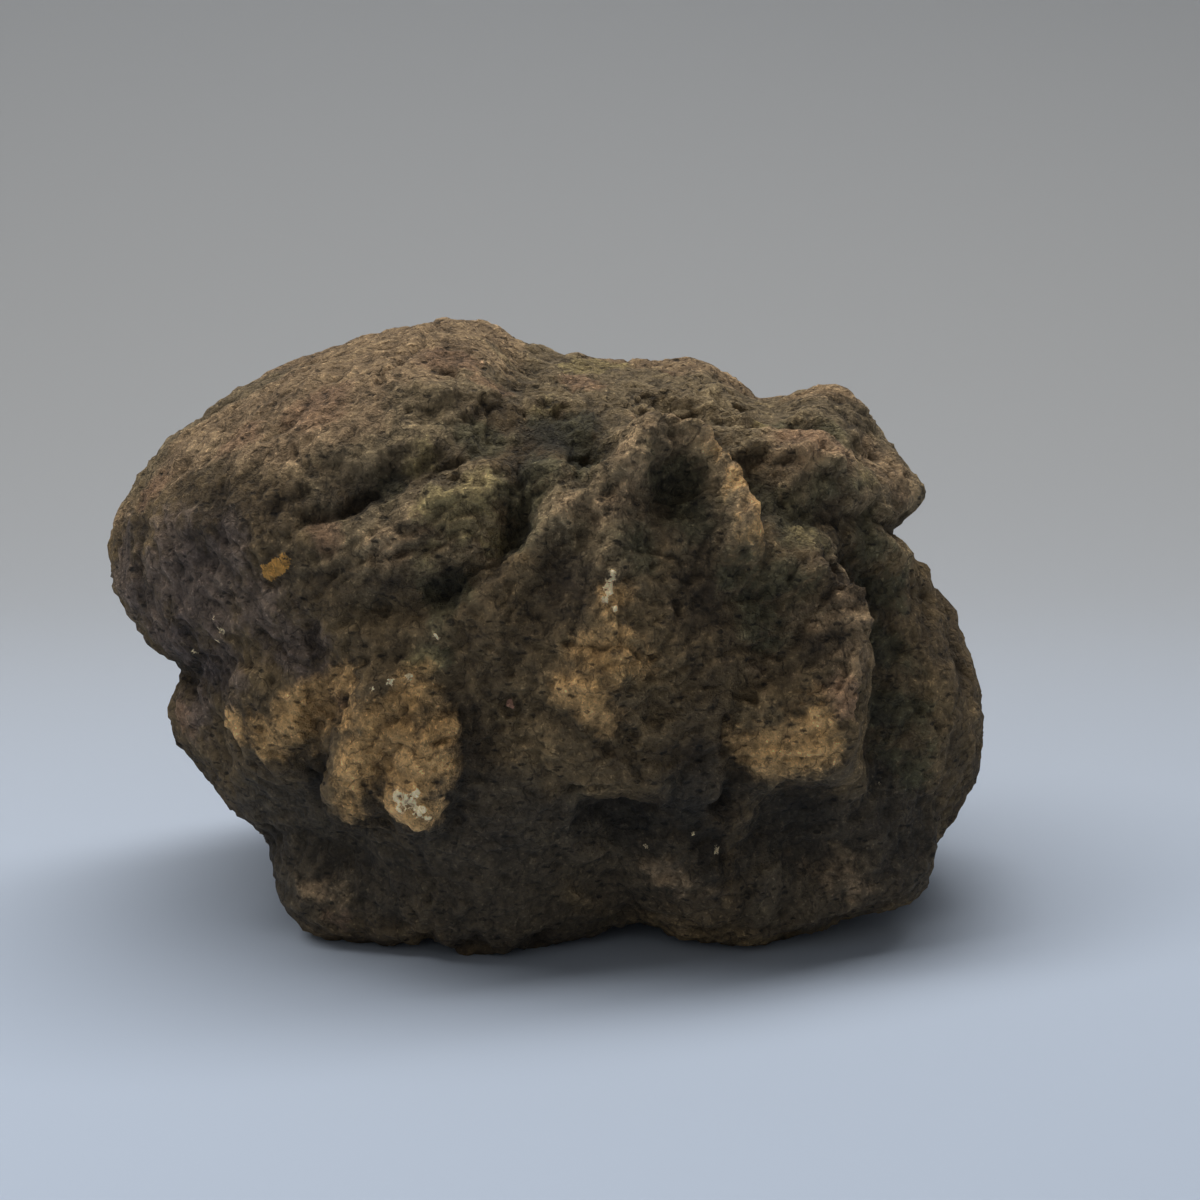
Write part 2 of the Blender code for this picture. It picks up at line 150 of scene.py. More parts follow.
def on_skin(place):
    """Moves a place onto the plain form: (x, z) straight back from the front, (x, y, z) to the middle."""
    if len(place) == 3:
        past, way = reach_past_skin(place)
        return np.array(place, float) - past * way
    x, z = place
    outside = WELL_OUTSIDE
    inside = 0.0
    for _ in range(HALVINGS):
        y = (outside + inside) / 2
        if reach_past_skin((x, y, z))[0] > 0:
            outside = y
        else:
            inside = y
    return np.array((x, y, z))


# %% [markdown]
# ## Mounds, ribs and valleys
#
# The forms that give the stone its look from a step away are placed one by one, as on the solid. A mound is a
# swell round a place, and a rib or a valley is a swell along a line. Each has a crest: 1 runs up to a sharp
# line, 0 is round, and -1 has a flat top and steep sides. A lip is where weathering has bitten under a
# layer: it slopes up gently on one side of its line and drops sharply on the other.

# %% Mounds and hollows: place, radius, height and crest
LEFT_SHOULDER = (
    ((-52, 101), 46, 3.0, 0), ((-80, 84), 24, 2.0, 0), ((-26, 116), 24, 2.5, 0), ((-58, 92), 18, 2.0, 0),
)
LOWER_LEFT_LOBE = (((-76, 45), 15, 4.0, 0), ((-56, 50), 19, 3.5, 0), ((-62, 30), 22, 2.0, 0))
BOSS = (((-28, 49), 18, 3.8, -0.4), ((-34, 41), 11, 2.0, -0.5))
MID_SWELLS = (
    ((9, 62), 16, 2.5, 0), ((26, 58), 17, 2.0, 0), ((-8, 56), 14, -0.5, 0), ((34, 78), 15, -2.5, 0),
    ((-20, 95), 9, 2.0, 0), ((1, 103), 7, 3.0, 0), ((-12, 72), 16, 1.5, 0),
)
DEEP_HOLLOWS = (
    ((29, 97), 12, -3.0, 0), ((-3, 92), 8, -4.5, 0), ((-7, 88), 6, -2.0, 0), ((-20, 80), 7, -2.5, 0),
    ((9, 105), 8, -3.0, 0), ((-34, 97), 4.5, -2.5, 0), ((57, 108), 7, -3.0, 0), ((-16, 99), 4, -2.0, 0),
)
RIGHT_KNOB = (
    ((72, 103), 17, 3.0, 0), ((77, 95), 13, 3.0, -0.3), ((62, 112), 11, 2.0, 0), ((33, 114), 9, 2.0, 0),
)
RIGHT_LOBE = (((50, 49), 14, 4.5, -0.5), ((86, 45), 24, 2.5, 0), ((56, 101), 10, 2.5, 0))
OVERHANGS = (((17, 32), 12, -7.5, -0.2), ((52, 32), 13, -5.0, 0), ((34, 33), 10, -1.5, 0))
LOW_FRONT = (((27, 20), 12, 6.0, -0.3), ((-12, -60, 26), 30, 6.0, 0))
FEET = (
    ((-41, -43, 8), 22, 15.0, -0.35), ((-8, -54, 2), 28, 12.8, 0), ((44, -53, 4), 27, 13.0, 0),
    ((74, -44, 9), 27, 12.0, 0), ((-24, 36, 4), 24, 11.2, 0), ((38, 34, 4), 24, 6.6, 0),
    ((18, -56, 3), 20, 3.5, 0), ((-28, -56, 12), 16, 3.0, 0),
)
BACK_LOBES = (
    ((-52, 50, 84), 30, 3.0, -0.4), ((8, 70, 88), 26, 3.5, -0.4), ((60, 45, 76), 24, 4.0, -0.3),
    ((-26, 70, 42), 22, 4.0, -0.4), ((34, 68, 38), 22, 3.5, -0.4), ((-80, 22, 60), 18, 3.0, -0.3),
    ((-14, 30, 122), 20, 2.5, -0.3), ((36, 22, 112), 18, 3.0, -0.3), ((72, 62, 50), 12, 3.0, 0),
    ((-58, 58, 52), 12, 3.5, 0), ((20, 74, 62), 10, -3.5, 0), ((-38, 66, 66), 9, -3.0, 0),
)
MOUNDS = (
    LEFT_SHOULDER + LOWER_LEFT_LOBE + BOSS + MID_SWELLS + DEEP_HOLLOWS + RIGHT_KNOB + RIGHT_LOBE + OVERHANGS
    + LOW_FRONT + FEET + BACK_LOBES
)
print(len(MOUNDS), "mounds and hollows")

# %% Long forms: line, half width, height at its two ends, and crest
VALLEYS = (
    # under the left shoulder, from the left flank up to the saddle
    ([(-62, 81), (-50, 88), (-40, 93), (-28, 99), (-18, 104), (-10, 110), (-2, 121)], 9, -1.0, -5.5, 0.2),
    ([(-45, 91), (-38, 95), (-33, 99), (-29, 103)], 4, -1.0, -3.5, 0.3),
    ([(-60, 89), (-68, 84), (-76, 75)], 5, -0.8, -1.6, 0.3),
    # from the saddle down through the deep hollow to the left
    ([(3, 113), (-2, 106), (-3, 97), (-6, 90), (-14, 84), (-24, 79), (-34, 76)], 7, -3.5, -3.0, 0.2),
    # right of the arch, and behind its top
    ([(43, 101), (45, 96), (48, 91), (48, 85), (44, 79)], 8, -4.5, -1.0, 0.1),
    ([(23, 114), (31, 112), (38, 110), (44, 108), (52, 107), (61, 107)], 6, -4.0, -3.0, 0.2),
    # under the right knob
    ([(84, 82), (77, 87), (70, 90), (62, 92), (54, 92)], 8, -7.5, -3.0, 0.2),
    # right of the blocky rib
    ([(67, 82), (72, 74), (74, 64), (74, 54), (72, 42)], 11, -4.0, -5.5, 0.1),
    ([(-14, 64), (-12, 52), (-15, 38)], 9, -1.0, -2.0, 0.1),
    # round the back, and down it
    ([(-88, 26, 80), (-62, 52, 72), (-38, 68, 54), (-14, 75, 52)], 9, -2.0, -4.5, 0.2),
    ([(-14, 75, 52), (10, 74, 66), (28, 70, 74), (48, 62, 62), (66, 50, 44)], 8, -4.0, -2.5, 0.2),
    ([(-6, 25, 122), (-16, 55, 105), (-14, 70, 80), (-4, 75, 56), (4, 66, 24)], 8, -2.0, -4.0, 0.2),
    ([(30, 40, 112), (40, 58, 96), (42, 66, 74), (54, 62, 58)], 7, -3.0, -3.0, 0.2),
)
RIBS = (
    # lumpy band under the shoulder's valley
    ([(-58, 84), (-44, 88), (-28, 92), (-17, 97), (-10, 101)], 8, 2.5, 4.0, 0.1),
    ([(-52, 76), (-38, 80), (-26, 86)], 8, 1.5, 2.5, 0.1),
    # right edge of the deep hollow
    ([(4, 101), (4, 96), (0, 91), (-4, 86)], 6, 2.0, 3.5, 0.5),
    # arch round the upper hollow
    ([(13, 100), (17, 105), (23, 107), (30, 106), (35, 102), (38, 97), (40, 90)], 7, 4.0, 6.0, 0.3),
    # centre rib, from inside the arch down to the middle
    ([(21, 103), (16, 98), (14, 92), (13, 84), (13, 76), (14, 69), (10, 60)], 11, 6.0, 3.0, 0.5),
    # shoulder behind the arch
    ([(45, 106), (52, 105), (58, 103), (65, 98)], 8, 3.0, 3.5, 0.2),
    # crest of the right lobe
    ([(60, 93), (68, 89), (76, 83), (85, 72), (93, 58)], 11, 3.0, 3.0, 0.2),
    # blocky rib
    ([(49, 86), (54, 83), (58, 77), (59, 67), (58, 56), (56, 46)], 11, 3.5, 5.5, -0.5),
    # layers of the right flank
    ([(81, 74), (84, 62), (84, 50), (80, 37)], 6, 2.5, 2.0, 0.3),
    ([(88, 68), (92, 55), (91, 42), (86, 30)], 6, 2.0, 2.0, 0.3),
    # two fingers of the boss
    ([(-32, 61), (-34, 48), (-37, 34)], 7, 1.5, 3.0, 0.3),
    ([(-26, 60), (-22, 48), (-24, 35)], 8, 1.5, 4.0, 0.3),
    # lip over the dark hollow
    ([(2, 49), (11, 46), (21, 43)], 8, 3.5, 3.5, 0.3),
    # ribs of the back
    ([(-40, 58, 96), (-34, 66, 80), (-40, 66, 62)], 8, 2.0, 3.0, 0.3),
    ([(24, 62, 98), (26, 70, 82), (20, 74, 68)], 7, 3.0, 2.0, 0.3),
    ([(66, 52, 70), (74, 48, 52), (70, 46, 32)], 8, 2.0, 3.0, 0.3),
    # ledge at the lower right
    ([(47, 15), (58, 16), (70, 19), (80, 26)], 6, 3.0, 2.0, 0.4),
)
CREASES = (
    ([(45, 78), (47, 69), (44, 61)], 6, -1.0, -1.5, 0.2),
    ([(-87, 52), (-78, 57), (-69, 62), (-60, 66), (-48, 68)], 8, -5.0, -2.0, 0.2),
    ([(-67, 58), (-68, 50), (-66, 42)], 6, -1.5, -1.5, 0.2),
    ([(-43, 64), (-44, 54), (-45, 45), (-46, 36)], 5, -1.5, -2.5, 0.3),
    ([(-30, 46), (-30, 33)], 4, -1.0, -2.0, 0.3),
    ([(39, 52), (40, 44), (39, 36)], 5, -2.0, -4.0, 0.1),
    ([(44, 26), (54, 23), (62, 24)], 6, -3.5, -2.0, 0.2),
)
LONG_FORMS = VALLEYS + RIBS + CREASES
print(len(LONG_FORMS), "ribs, valleys and creases")

# %% Sharp lips: line, reach of the gentle side on its left, reach of the steep side, and height
LIPS = (
    # arch over the upper hollow, from the foot of its right leg
    (
        [(41, 86), (40, 93), (38, 98), (35, 102), (31, 106), (24, 107), (18, 106), (15, 103), (12, 96)],
        11, 3, 4.5,
    ),
    # ridge between the arch's left leg and the deep hollow
    ([(12, 98), (7, 96), (2, 92), (-3, 87)], 9, 3, 3.0),
    # shoulder behind the arch, and the underside of the right knob
    ([(35, 109), (42, 105), (52, 102), (61, 98)], 9, 4, 3.0),
    ([(56, 96), (62, 94), (69, 92), (76, 89), (83, 86)], 14, 3, 4.0),
    # right and upper edge of the blocky rib
    ([(57, 46), (58, 52), (59, 60), (60, 69), (62, 75), (57, 79), (53, 82), (48, 86)], 12, 3, 3.5),
    # steps of the left shoulder's lower side
    ([(-29, 100), (-35, 98), (-41, 96), (-48, 92)], 7, 3, 2.0),
    ([(-26, 88), (-20, 87), (-12, 88), (-7, 89)], 8, 4, 2.0),
    ([(-82, 89), (-66, 88), (-55, 90), (-44, 89)], 14, 7, 1.5),
    ([(-30, 115), (-18, 114), (-9, 116), (-5, 112)], 9, 4, 2.0),
    # edge of the boss
    ([(-38, 56), (-39, 45), (-40, 36), (-37, 32), (-33, 36), (-29, 40), (-25, 38)], 10, 3.5, 2.0),
    ([(-29, 40), (-25, 38), (-21, 35), (-18, 42), (-16, 48), (-17, 57)], 10, 3.5, 2.5),
    # lips over the dark hollows
    ([(5, 44), (13, 38), (22, 36), (30, 38), (42, 39)], 12, 4, 3.0),
    ([(40, 40), (48, 37), (56, 37), (65, 43)], 10, 4, 2.0),
    # ledge at the lower right, and the lower edge of the low front
    ([(47, 17), (54, 18), (61, 20), (68, 25)], 6, 3, 2.0),
    ([(-31, 22), (-24, 16), (-16, 12), (-8, 9)], 12, 5, 2.5),
)
LIP_FADE = 0.14
print(len(LIPS), "lips")


# %% Height of each form
def swell(share, crest):
    """1 in the middle of a form and 0 at its edge: round topped, running up to a crest, or flat topped."""
    share = np.minimum(share, 1.0)
    other = (1 - share) ** 2 if crest > 0 else (1 - share**5) ** 2
    return (1 - abs(crest)) * (1 - share**2) ** 2 + abs(crest) * other


def mound_height(points, place, radius, height, crest):
    gap = np.linalg.norm(points - on_skin(place), axis=1)
    return height * swell(gap / radius, crest)


def gap_to_line(points, line):
    """Distance from each point to a line on the skin, how far along it, 0 to 1, and whether left of it."""
    ends = np.array([on_skin(place) for place in line])
    lengths = np.linalg.norm(np.diff(ends, axis=0), axis=1)
    passed = np.concatenate(((0.0,), np.cumsum(lengths))) / lengths.sum()
    nearest = np.full(len(points), np.inf)
    along = np.zeros(len(points))
    on_left = np.zeros(len(points), bool)
    for start, stop, from_share, to_share in zip(ends[:-1], ends[1:], passed[:-1], passed[1:]):
        run = stop - start
        part = np.clip((points - start) @ run / (run @ run), 0, 1)
        gap = np.linalg.norm(points - start - part[:, None] * run, axis=1)
        left = (np.cross(run, points - start) * (points - MIDDLE)).sum(axis=1) > 0
        closer = gap < nearest
        nearest = np.where(closer, gap, nearest)
        along = np.where(closer, from_share + part * (to_share - from_share), along)
        on_left = np.where(closer, left, on_left)
    return nearest, along, on_left


def long_form_height(points, line, half_width, first, last, crest):
    nearest, along, _ = gap_to_line(points, line)
    return (first + (last - first) * along) * swell(nearest / half_width, crest)


def lip_height(points, line, gentle, steep, height):
    """A sharp lip: seen from outside, it slopes gently to the left of its line and drops to the right."""
    nearest, along, on_left = gap_to_line(points, line)
    share = np.minimum(nearest / np.where(on_left, gentle, steep), 1.0)
    fade = np.clip(np.minimum(along, 1 - along) / LIP_FADE, 0, 1)
    return height * fade * (1 - share) ** 2


# %% [markdown]
# ## Noise
#
# No stone is smooth between its forms. Gradient noise gives lumps of one size, and scattered pits give the
# holes where small crystals or softer grains have weathered out. The noise is worked out from a shuffled
# table with a fixed seed, so that each run gives the same stone.

# %% Lumps and pits
PIT_RADIUS = 0.42
PIT_SLOPE = 0.32
PIT_STRAY = 0.35
SHUFFLED = np.random.default_rng(7).permutation(256)
LEANS = np.random.default_rng(8).normal(size=(256, 3))
LEANS /= np.linalg.norm(LEANS, axis=1, keepdims=True)


def cell_code(cell):
    """A number from 0 to 255 for each cell of a grid, the same on every run."""
    column = SHUFFLED[cell[:, 0] & 255]
    row = SHUFFLED[(column + cell[:, 1]) & 255]
    return SHUFFLED[(row + cell[:, 2]) & 255]


def lumps(points, size, shift):
    """Gradient noise, about -1 to 1, with lumps about one size across."""
    scaled = points / size + shift
    cell = np.floor(scaled).astype(int)
    part = scaled - cell
    fade = part**3 * (part * (part * 6 - 15) + 10)
    total = np.zeros(len(points))
    for corner in np.ndindex(2, 2, 2):
        lean = LEANS[cell_code(cell + corner)]
        weight = np.prod(np.where(corner, fade, 1 - fade), axis=1)
        total += weight * ((part - corner) * lean).sum(axis=1)
    return 1.5 * total


def pit_floor(points, spacing, share, shift, radius=PIT_RADIUS):
    """1 on the floor of scattered pits and 0 between them. A share of a grid's cells holds one each."""
    scaled = points / spacing + shift
    cell = np.floor(scaled).astype(int)
    nearest = np.full(len(points), np.inf)
    for step in np.ndindex(3, 3, 3):
        around = cell + np.array(step) - 1
        code = cell_code(around)
        spot = around + 0.5 + PIT_STRAY * LEANS[code]
        gap = np.linalg.norm(scaled - spot, axis=1)
        nearest = np.where(SHUFFLED[code] < 256 * share, np.minimum(nearest, gap), nearest)
    slope = np.clip((radius - nearest) / PIT_SLOPE, 0, 1)
    return slope * slope * (3 - 2 * slope)


# %% [markdown]
# ## The grid
#
# A sphere of rings and meridians crowds its points at two poles. A cube's six square grids, blown up to a
# sphere, have even cells all over. The corners that two or three grids share are merged, which closes the
# seams. The two parameters are the place on a square, and the show side gets the finer cells.

# %% Directions from the middle
SEGMENTS = 128
SHOW_SIDE_PULL = 0.36


def cube_lattice(segments):
    """Whole-number corners of six square grids on a cube, shared ones merged, and each face's four."""
    a, b = np.meshgrid(np.arange(segments + 1), np.arange(segments + 1), indexing="ij")
    low = np.zeros_like(a)
    high = np.full_like(a, segments)
    sides = ((high, a, b), (low, b, a), (b, high, a), (a, low, b), (a, b, high), (b, a, low))
    corners = np.stack([np.stack(side, axis=-1) for side in sides])
    codes = corners @ np.array((1, 1000, 1000000))
    _, first, index = np.unique(codes, return_index=True, return_inverse=True)
    index = index.reshape(codes.shape)
    around = (index[:, :-1, :-1], index[:, 1:, :-1], index[:, 1:, 1:], index[:, :-1, 1:])
    return corners.reshape(-1, 3)[first], np.stack(around, axis=-1).reshape(-1, 4)


LATTICE, FACES = cube_lattice(SEGMENTS)
WAYS = np.tan((LATTICE / SEGMENTS * 2 - 1) * np.pi / 4)
WAYS /= np.linalg.norm(WAYS, axis=1, keepdims=True)
WAYS += (0, -SHOW_SIDE_PULL, 0)
WAYS /= np.linalg.norm(WAYS, axis=1, keepdims=True)
print(len(WAYS), "points,", 2 * len(FACES), "triangles")

# %% The solid's own shape on the grid
WANDER = ((16.0, 2.2), (6.0, 0.8))
BACK_STARTS = -0.2
BACK_IS_FULL = 0.5
BROAD_LUMP = 42.0
BROAD_HEIGHT = 1.2
BROAD_HEIGHT_BEHIND = 4.7
LUMP = 20.0
LUMP_HEIGHT = 1.0
LUMP_HEIGHT_BEHIND = 2.2
RIDGE_SPACING = 13.0
RIDGE_HEIGHT = 1.3
SMALL_LUMP = 8.0
SMALL_LUMP_HEIGHT = 0.7
PIT_SPACING = 11.0
PIT_DEPTH = 1.6
PIT_SHARE = 0.55
PLAIN = MIDDLE + WAYS * plain_reach(WAYS)[:, None]


def wandered_from(points, steps):
    """Points moved sideways by noise, so that what is drawn from them has wandering edges."""
    moved = points.copy()
    for size, reach in steps:
        for axis in range(3):
            moved[:, axis] += reach * lumps(points, size, 10 * axis + 3.3)
    return moved


WANDERED = wandered_from(PLAIN, WANDER)


def solid_height():
    """Mounds, long forms, broad lumps, ridges and pits, as millimetres over the plain form."""
    height = np.zeros(len(WAYS))
    for mound in MOUNDS:
        height += mound_height(WANDERED, *mound)
    for form in LONG_FORMS:
        height += long_form_height(WANDERED, *form)
    for lip in LIPS:
        height += lip_height(WANDERED, *lip)
    behind = np.clip((WAYS[:, 1] - BACK_STARTS) / (BACK_IS_FULL - BACK_STARTS), 0, 1)
    broad = BROAD_HEIGHT + (BROAD_HEIGHT_BEHIND - BROAD_HEIGHT) * behind
    height += broad * lumps(PLAIN, BROAD_LUMP, 5.5)
    lumpy = LUMP_HEIGHT + (LUMP_HEIGHT_BEHIND - LUMP_HEIGHT) * behind
    height += lumpy * lumps(PLAIN, LUMP, 1.5)
    height += RIDGE_HEIGHT * (0.5 - np.abs(lumps(PLAIN, RIDGE_SPACING, 2.5)))
    height += SMALL_LUMP_HEIGHT * lumps(WANDERED, SMALL_LUMP, 4.5)
    height -= PIT_DEPTH * pit_floor(WANDERED, PIT_SPACING, PIT_SHARE, 0.3)
    return height


SOLID_HEIGHT = solid_height()
BODY = PLAIN + WAYS * SOLID_HEIGHT[:, None]
print("body, mm:", (BODY.max(axis=0) - BODY.min(axis=0)).round(1))


# %% [markdown]
# ## Reading the surface
#
# Wear and dirt follow the shape: what stands out is rubbed, and what lies in keeps its dirt. The same reading
# also paints light and shade: what stands out is painted lighter, and what lies in is painted darker as
# shade.
# Both are read from the surface itself. Averaging each point's height with its neighbours' smooths the skin,
# and what is left between the two says how far a point stands out or lies in.

# %% Normals and neighbours
def normals_of(points):
    """Outward normal at each point: the sum of the crossed diagonals of the faces round it."""
    p, q, r, s = (points[FACES[:, k]] for k in range(4))
    crossed = np.cross(r - p, s - q)
    total = np.zeros_like(points)
    for k in range(4):
        for axis in range(3):
            total[:, axis] += np.bincount(FACES[:, k], crossed[:, axis], minlength=len(points))
    return total / np.linalg.norm(total, axis=1, keepdims=True)


EDGE_FROM = FACES.ravel()
EDGE_TO = np.roll(FACES, -1, axis=1).ravel()
EDGE_COUNT = np.bincount(EDGE_FROM, minlength=len(WAYS)) + np.bincount(EDGE_TO, minlength=len(WAYS))


def averaged(values, rounds):
    """Each value averaged with its neighbours' again and again, which spreads it like ink."""
    for _ in range(rounds):
        total = np.bincount(EDGE_FROM, values[EDGE_TO], minlength=len(values))
        total += np.bincount(EDGE_TO, values[EDGE_FROM], minlength=len(values))
        values = 0.3 * values + 0.7 * total / EDGE_COUNT
    return values


BODY_NORMALS = normals_of(BODY)
STANDS_OUT = SOLID_HEIGHT - averaged(SOLID_HEIGHT, 120)
print("stands out by", STANDS_OUT.min().round(1), "to", STANDS_OUT.max().round(1), "mm")


# %% [markdown]
# ## Where things are
#
# Zones of crust, stains and mineral spots are given as discs on the skin: a place and a radius in
# millimetres. A disc's edge is soft here, and its points wander by noise. The material's own grain later
# cuts the soft edge crisp.

# %% Discs on the skin
FINE_WANDER = wandered_from(PLAIN, ((11.0, 2.6), (4.5, 1.1)))


def zone(discs, soft):
    """0.5 on the rim of a disc, 1 well inside and 0 well outside. Soft is half the width of the change."""
    total = np.zeros(len(PLAIN))
    for place, radius in discs:
        gap = np.linalg.norm(FINE_WANDER - on_skin(place), axis=1)
        total = np.maximum(total, np.clip(0.5 + (radius - gap) / (2 * soft), 0, 1))
    return total


SMOOTH_LOW = zone(
    (
        ((-51, 25), 18), ((-8, 27), 20), ((16, 22), 15), ((54, 22), 18), ((71, 25), 14), ((-32, 21), 12),
        ((-17, 38), 10), ((3, 10), 14), ((32, 38), 8), ((-14, 50, 20), 26), ((30, 40, 12), 22),
    ),
    8,
)
SHOULDER_TOP = zone((((-50, 112), 22), ((-30, 122), 16), ((-70, 104), 15), ((-34, -10, 122), 30)), 6)
SLANTING = zone((((-46, 92), 9), ((-38, 90), 11), ((-30, 94), 9), ((-52, 98), 9), ((-28, 102), 7)), 5)
HONEYCOMB = zone(
    (((68, 106), 12), ((62, 112), 8), ((34, 114), 10), ((76, 94), 10), ((57, 68), 12), ((45, 102), 8)), 5
)
print("smooth share", SMOOTH_LOW.mean().round(2), "honeycomb share", HONEYCOMB.mean().round(2))

# %% [markdown]
# ## The fine crust
#
# At arm's length the crust is flaky and pitted: thin ledges about 5 mm apart, round cushions with creases
# between them, and holes. All of it is real geometry here, down to about 2 mm, because light catches an edge
# in a way that a shaded bump can't copy. The lower front is worn smoother, and so is the shoulder's top.

# %% Ledges, cushions, grain and pits
# sizes, spacings and heights are in millimetres, and a shift sets each pattern apart from the others
FINE_EDGES = ((9.0, 1.8), (3.5, 0.6))
SHOULDER_LEDGES = ((-0.42, 0.0, 0.9), 4.6, 0.7)
PATCHY_LEDGES = ((-0.3, -0.2, 0.93), 5.6, 4.7)
PATCHY_LEDGE_HEIGHT = 0.8
FLAKES = (
    # size, height, steps in a size, shift
    (14.0, 1.0, 3.0, 1.1),
    (6.5, 0.6, 2.2, 6.1),
)
CUSHIONS = (
    # size, height, share that ledges take away, shift
    (11.0, 1.0, 0.0, 3.9),
    (5.0, 0.35, 0.7, 8.3),
)
GRAIN_SIZE = 3.0
GRAIN_HEIGHT = 0.42
FINEST_GRAIN_SIZE = 1.9
FINEST_GRAIN_HEIGHT = 0.3
FINE_PITS = (
    # spacing, depth, share of cells, shift, radius in cells
    (7.5, 1.5, 0.26, 2.6, 0.32),
    (4.2, 1.1, 0.18, 5.6, 0.36),
)
HONEYCOMB_PITS = (4.8, 0.6, 9.6, 0.42)
HONEYCOMB_DEPTH = 1.1
ROUGHNESS = 1.0 - 0.15 * SMOOTH_LOW - 0.25 * SHOULDER_TOP + 0.15 * HONEYCOMB


def ledges(points, across, spacing, shift):
    """A wandering sawtooth: it climbs for 78% of each spacing and drops sharply in the rest."""
    along = points @ np.array(across) / spacing + 0.9 * lumps(points, 3.2 * spacing, shift)
    part = along - np.floor(along)
    return np.minimum(part / 0.78, (1 - part) / 0.22) - 0.5


def flakes(points, size, steps, shift):
    """Noise cut into level steps with steep edges, less the noise itself: thin plates on each other."""
    height = steps * lumps(points, size, shift)
    part = height - np.floor(height)
    edge = np.clip((part - 0.35) / 0.3, 0, 1)
    return np.floor(height) + edge * edge * (3 - 2 * edge) - height


def creases(points, size, shift):
    """The size of the noise without its sign, about 0 to 1: round cushions with sharp creases between."""
    return np.abs(lumps(points, size, shift))


def fine_height():
    """Ledges, flakes, cushions, grain, and pits in three sizes, in millimetres."""
    sideways = wandered_from(BODY, FINE_EDGES)
    patchy = np.clip(lumps(BODY, 26, 8.1) + 0.4, 0, 1)
    height = PATCHY_LEDGE_HEIGHT * ROUGHNESS * patchy * ledges(BODY, *PATCHY_LEDGES)
    height += SLANTING * ledges(BODY, *SHOULDER_LEDGES)
    for size, rise, steps, shift in FLAKES:
        height += rise * ROUGHNESS * flakes(sideways, size, steps, shift)
    for size, rise, taken, shift in CUSHIONS:
        height += rise * ROUGHNESS * (1 - taken * patchy) * creases(sideways, size, shift)
    height += GRAIN_HEIGHT * ROUGHNESS * lumps(BODY, GRAIN_SIZE, 5.2)
    # the finest grain is left out behind, where the grid is coarser
    shown = np.clip(0.5 - BODY[:, 1] / 40, 0, 1)
    height += FINEST_GRAIN_HEIGHT * shown * (0.35 + ROUGHNESS) * lumps(BODY, FINEST_GRAIN_SIZE, 7.2)
    for spacing, depth, share, shift, radius in FINE_PITS:
        height -= depth * ROUGHNESS * pit_floor(sideways, spacing, share, shift, radius)
    height -= HONEYCOMB_DEPTH * HONEYCOMB * pit_floor(sideways, *HONEYCOMB_PITS)
    return height


FINE_HEIGHT = fine_height()
print("fine relief, mm:", FINE_HEIGHT.min().round(2), "to", FINE_HEIGHT.max().round(2))

# %% [markdown]
# Cracks and slits are grooves along lines. A few single grains stand out: a rusty nugget, white bits, and a
# quartz glint at the foot of the boss.

# %% Cracks, slits and single grains
CRACKS = (
    # on the shoulder, running over its top edge
    ([(-24, 128), (-26, 125), (-29, 121), (-33, 117)], 1.5, 2.4),
    ([(-74, 108), (-68, 107), (-62, 108)], 1.2, 0.9),
    # across the centre rib, and down it
    ([(5, 70), (12, 69), (17, 68.5), (22, 67)], 1.1, 1.4),
    ([(15, 79), (15.5, 74), (15, 69)], 1.0, 1.0),
    # through the rubbed foot of the blocky rib, and the groove beside its pale strip
    ([(41, 45), (47, 46), (54, 47)], 1.0, 0.9),
    ([(51, 67), (52.5, 72), (55, 76), (58, 78)], 1.5, 1.8),
    # short slits
    ([(-20, 51), (-17, 51.5)], 1.0, 1.6),
    ([(39, 58), (43, 57)], 1.1, 1.6),
    ([(40, 68.5), (44, 67), (49, 65)], 1.0, 1.3),
    ([(32, 61), (36, 60)], 1.0, 1.3),
    # in the dark hollow's roof, and under the ledge
    ([(6, 40), (11, 42), (18, 41)], 1.3, 1.6),
    ([(50, 14), (60, 15), (70, 17)], 1.6, 1.8),
)
PALE_GRAINS = (
    ((13.4, 82), 1.7), ((13.0, 79.5), 1.6), ((14, 76), 1.1), ((12.5, 77.5), 1.2),
    ((-66, 69), 1.4), ((-68, 67), 1.1), ((-67, 71.5), 1.1), ((-75, 63), 1.0),
    ((-28, 62), 1.1), ((-25, 63), 1.2), ((-31, 61), 1.0), ((-20, 71), 1.1),
    ((72, 35), 1.0), ((35, 26), 1.1), ((35, 107), 1.0), ((3, 118), 1.1), ((22, 25), 1.1), ((31, 29), 1.0),
)
QUARTZ_GLINT = (
    ((-25, 42), 1.8), ((-23, 41.3), 2.0), ((-21.5, 39.5), 1.6), ((-24, 39.8), 1.4), ((-22, 42.4), 1.2),
    ((-20.4, 38), 1.2),
)
NUGGET = (((-53, 82), 2.6), ((-51, 83), 2.4), ((-49, 84), 1.8))
PINK_CRUMB = (((-6, 57), 1.3),)
CRUMB_SOCKET = (((-6, 57), 2.6),)
END_KNOB = (((-93, 87), 3.2),)


def grains(discs, height):
    """Rounded grains: half an ellipse over each disc."""
    total = np.zeros(len(PLAIN))
    for place, radius in discs:
        gap = np.linalg.norm(PLAIN - on_skin(place), axis=1) / radius
        total = np.maximum(total, np.sqrt(np.clip(1 - gap**2, 0, 1)))
    return height * total


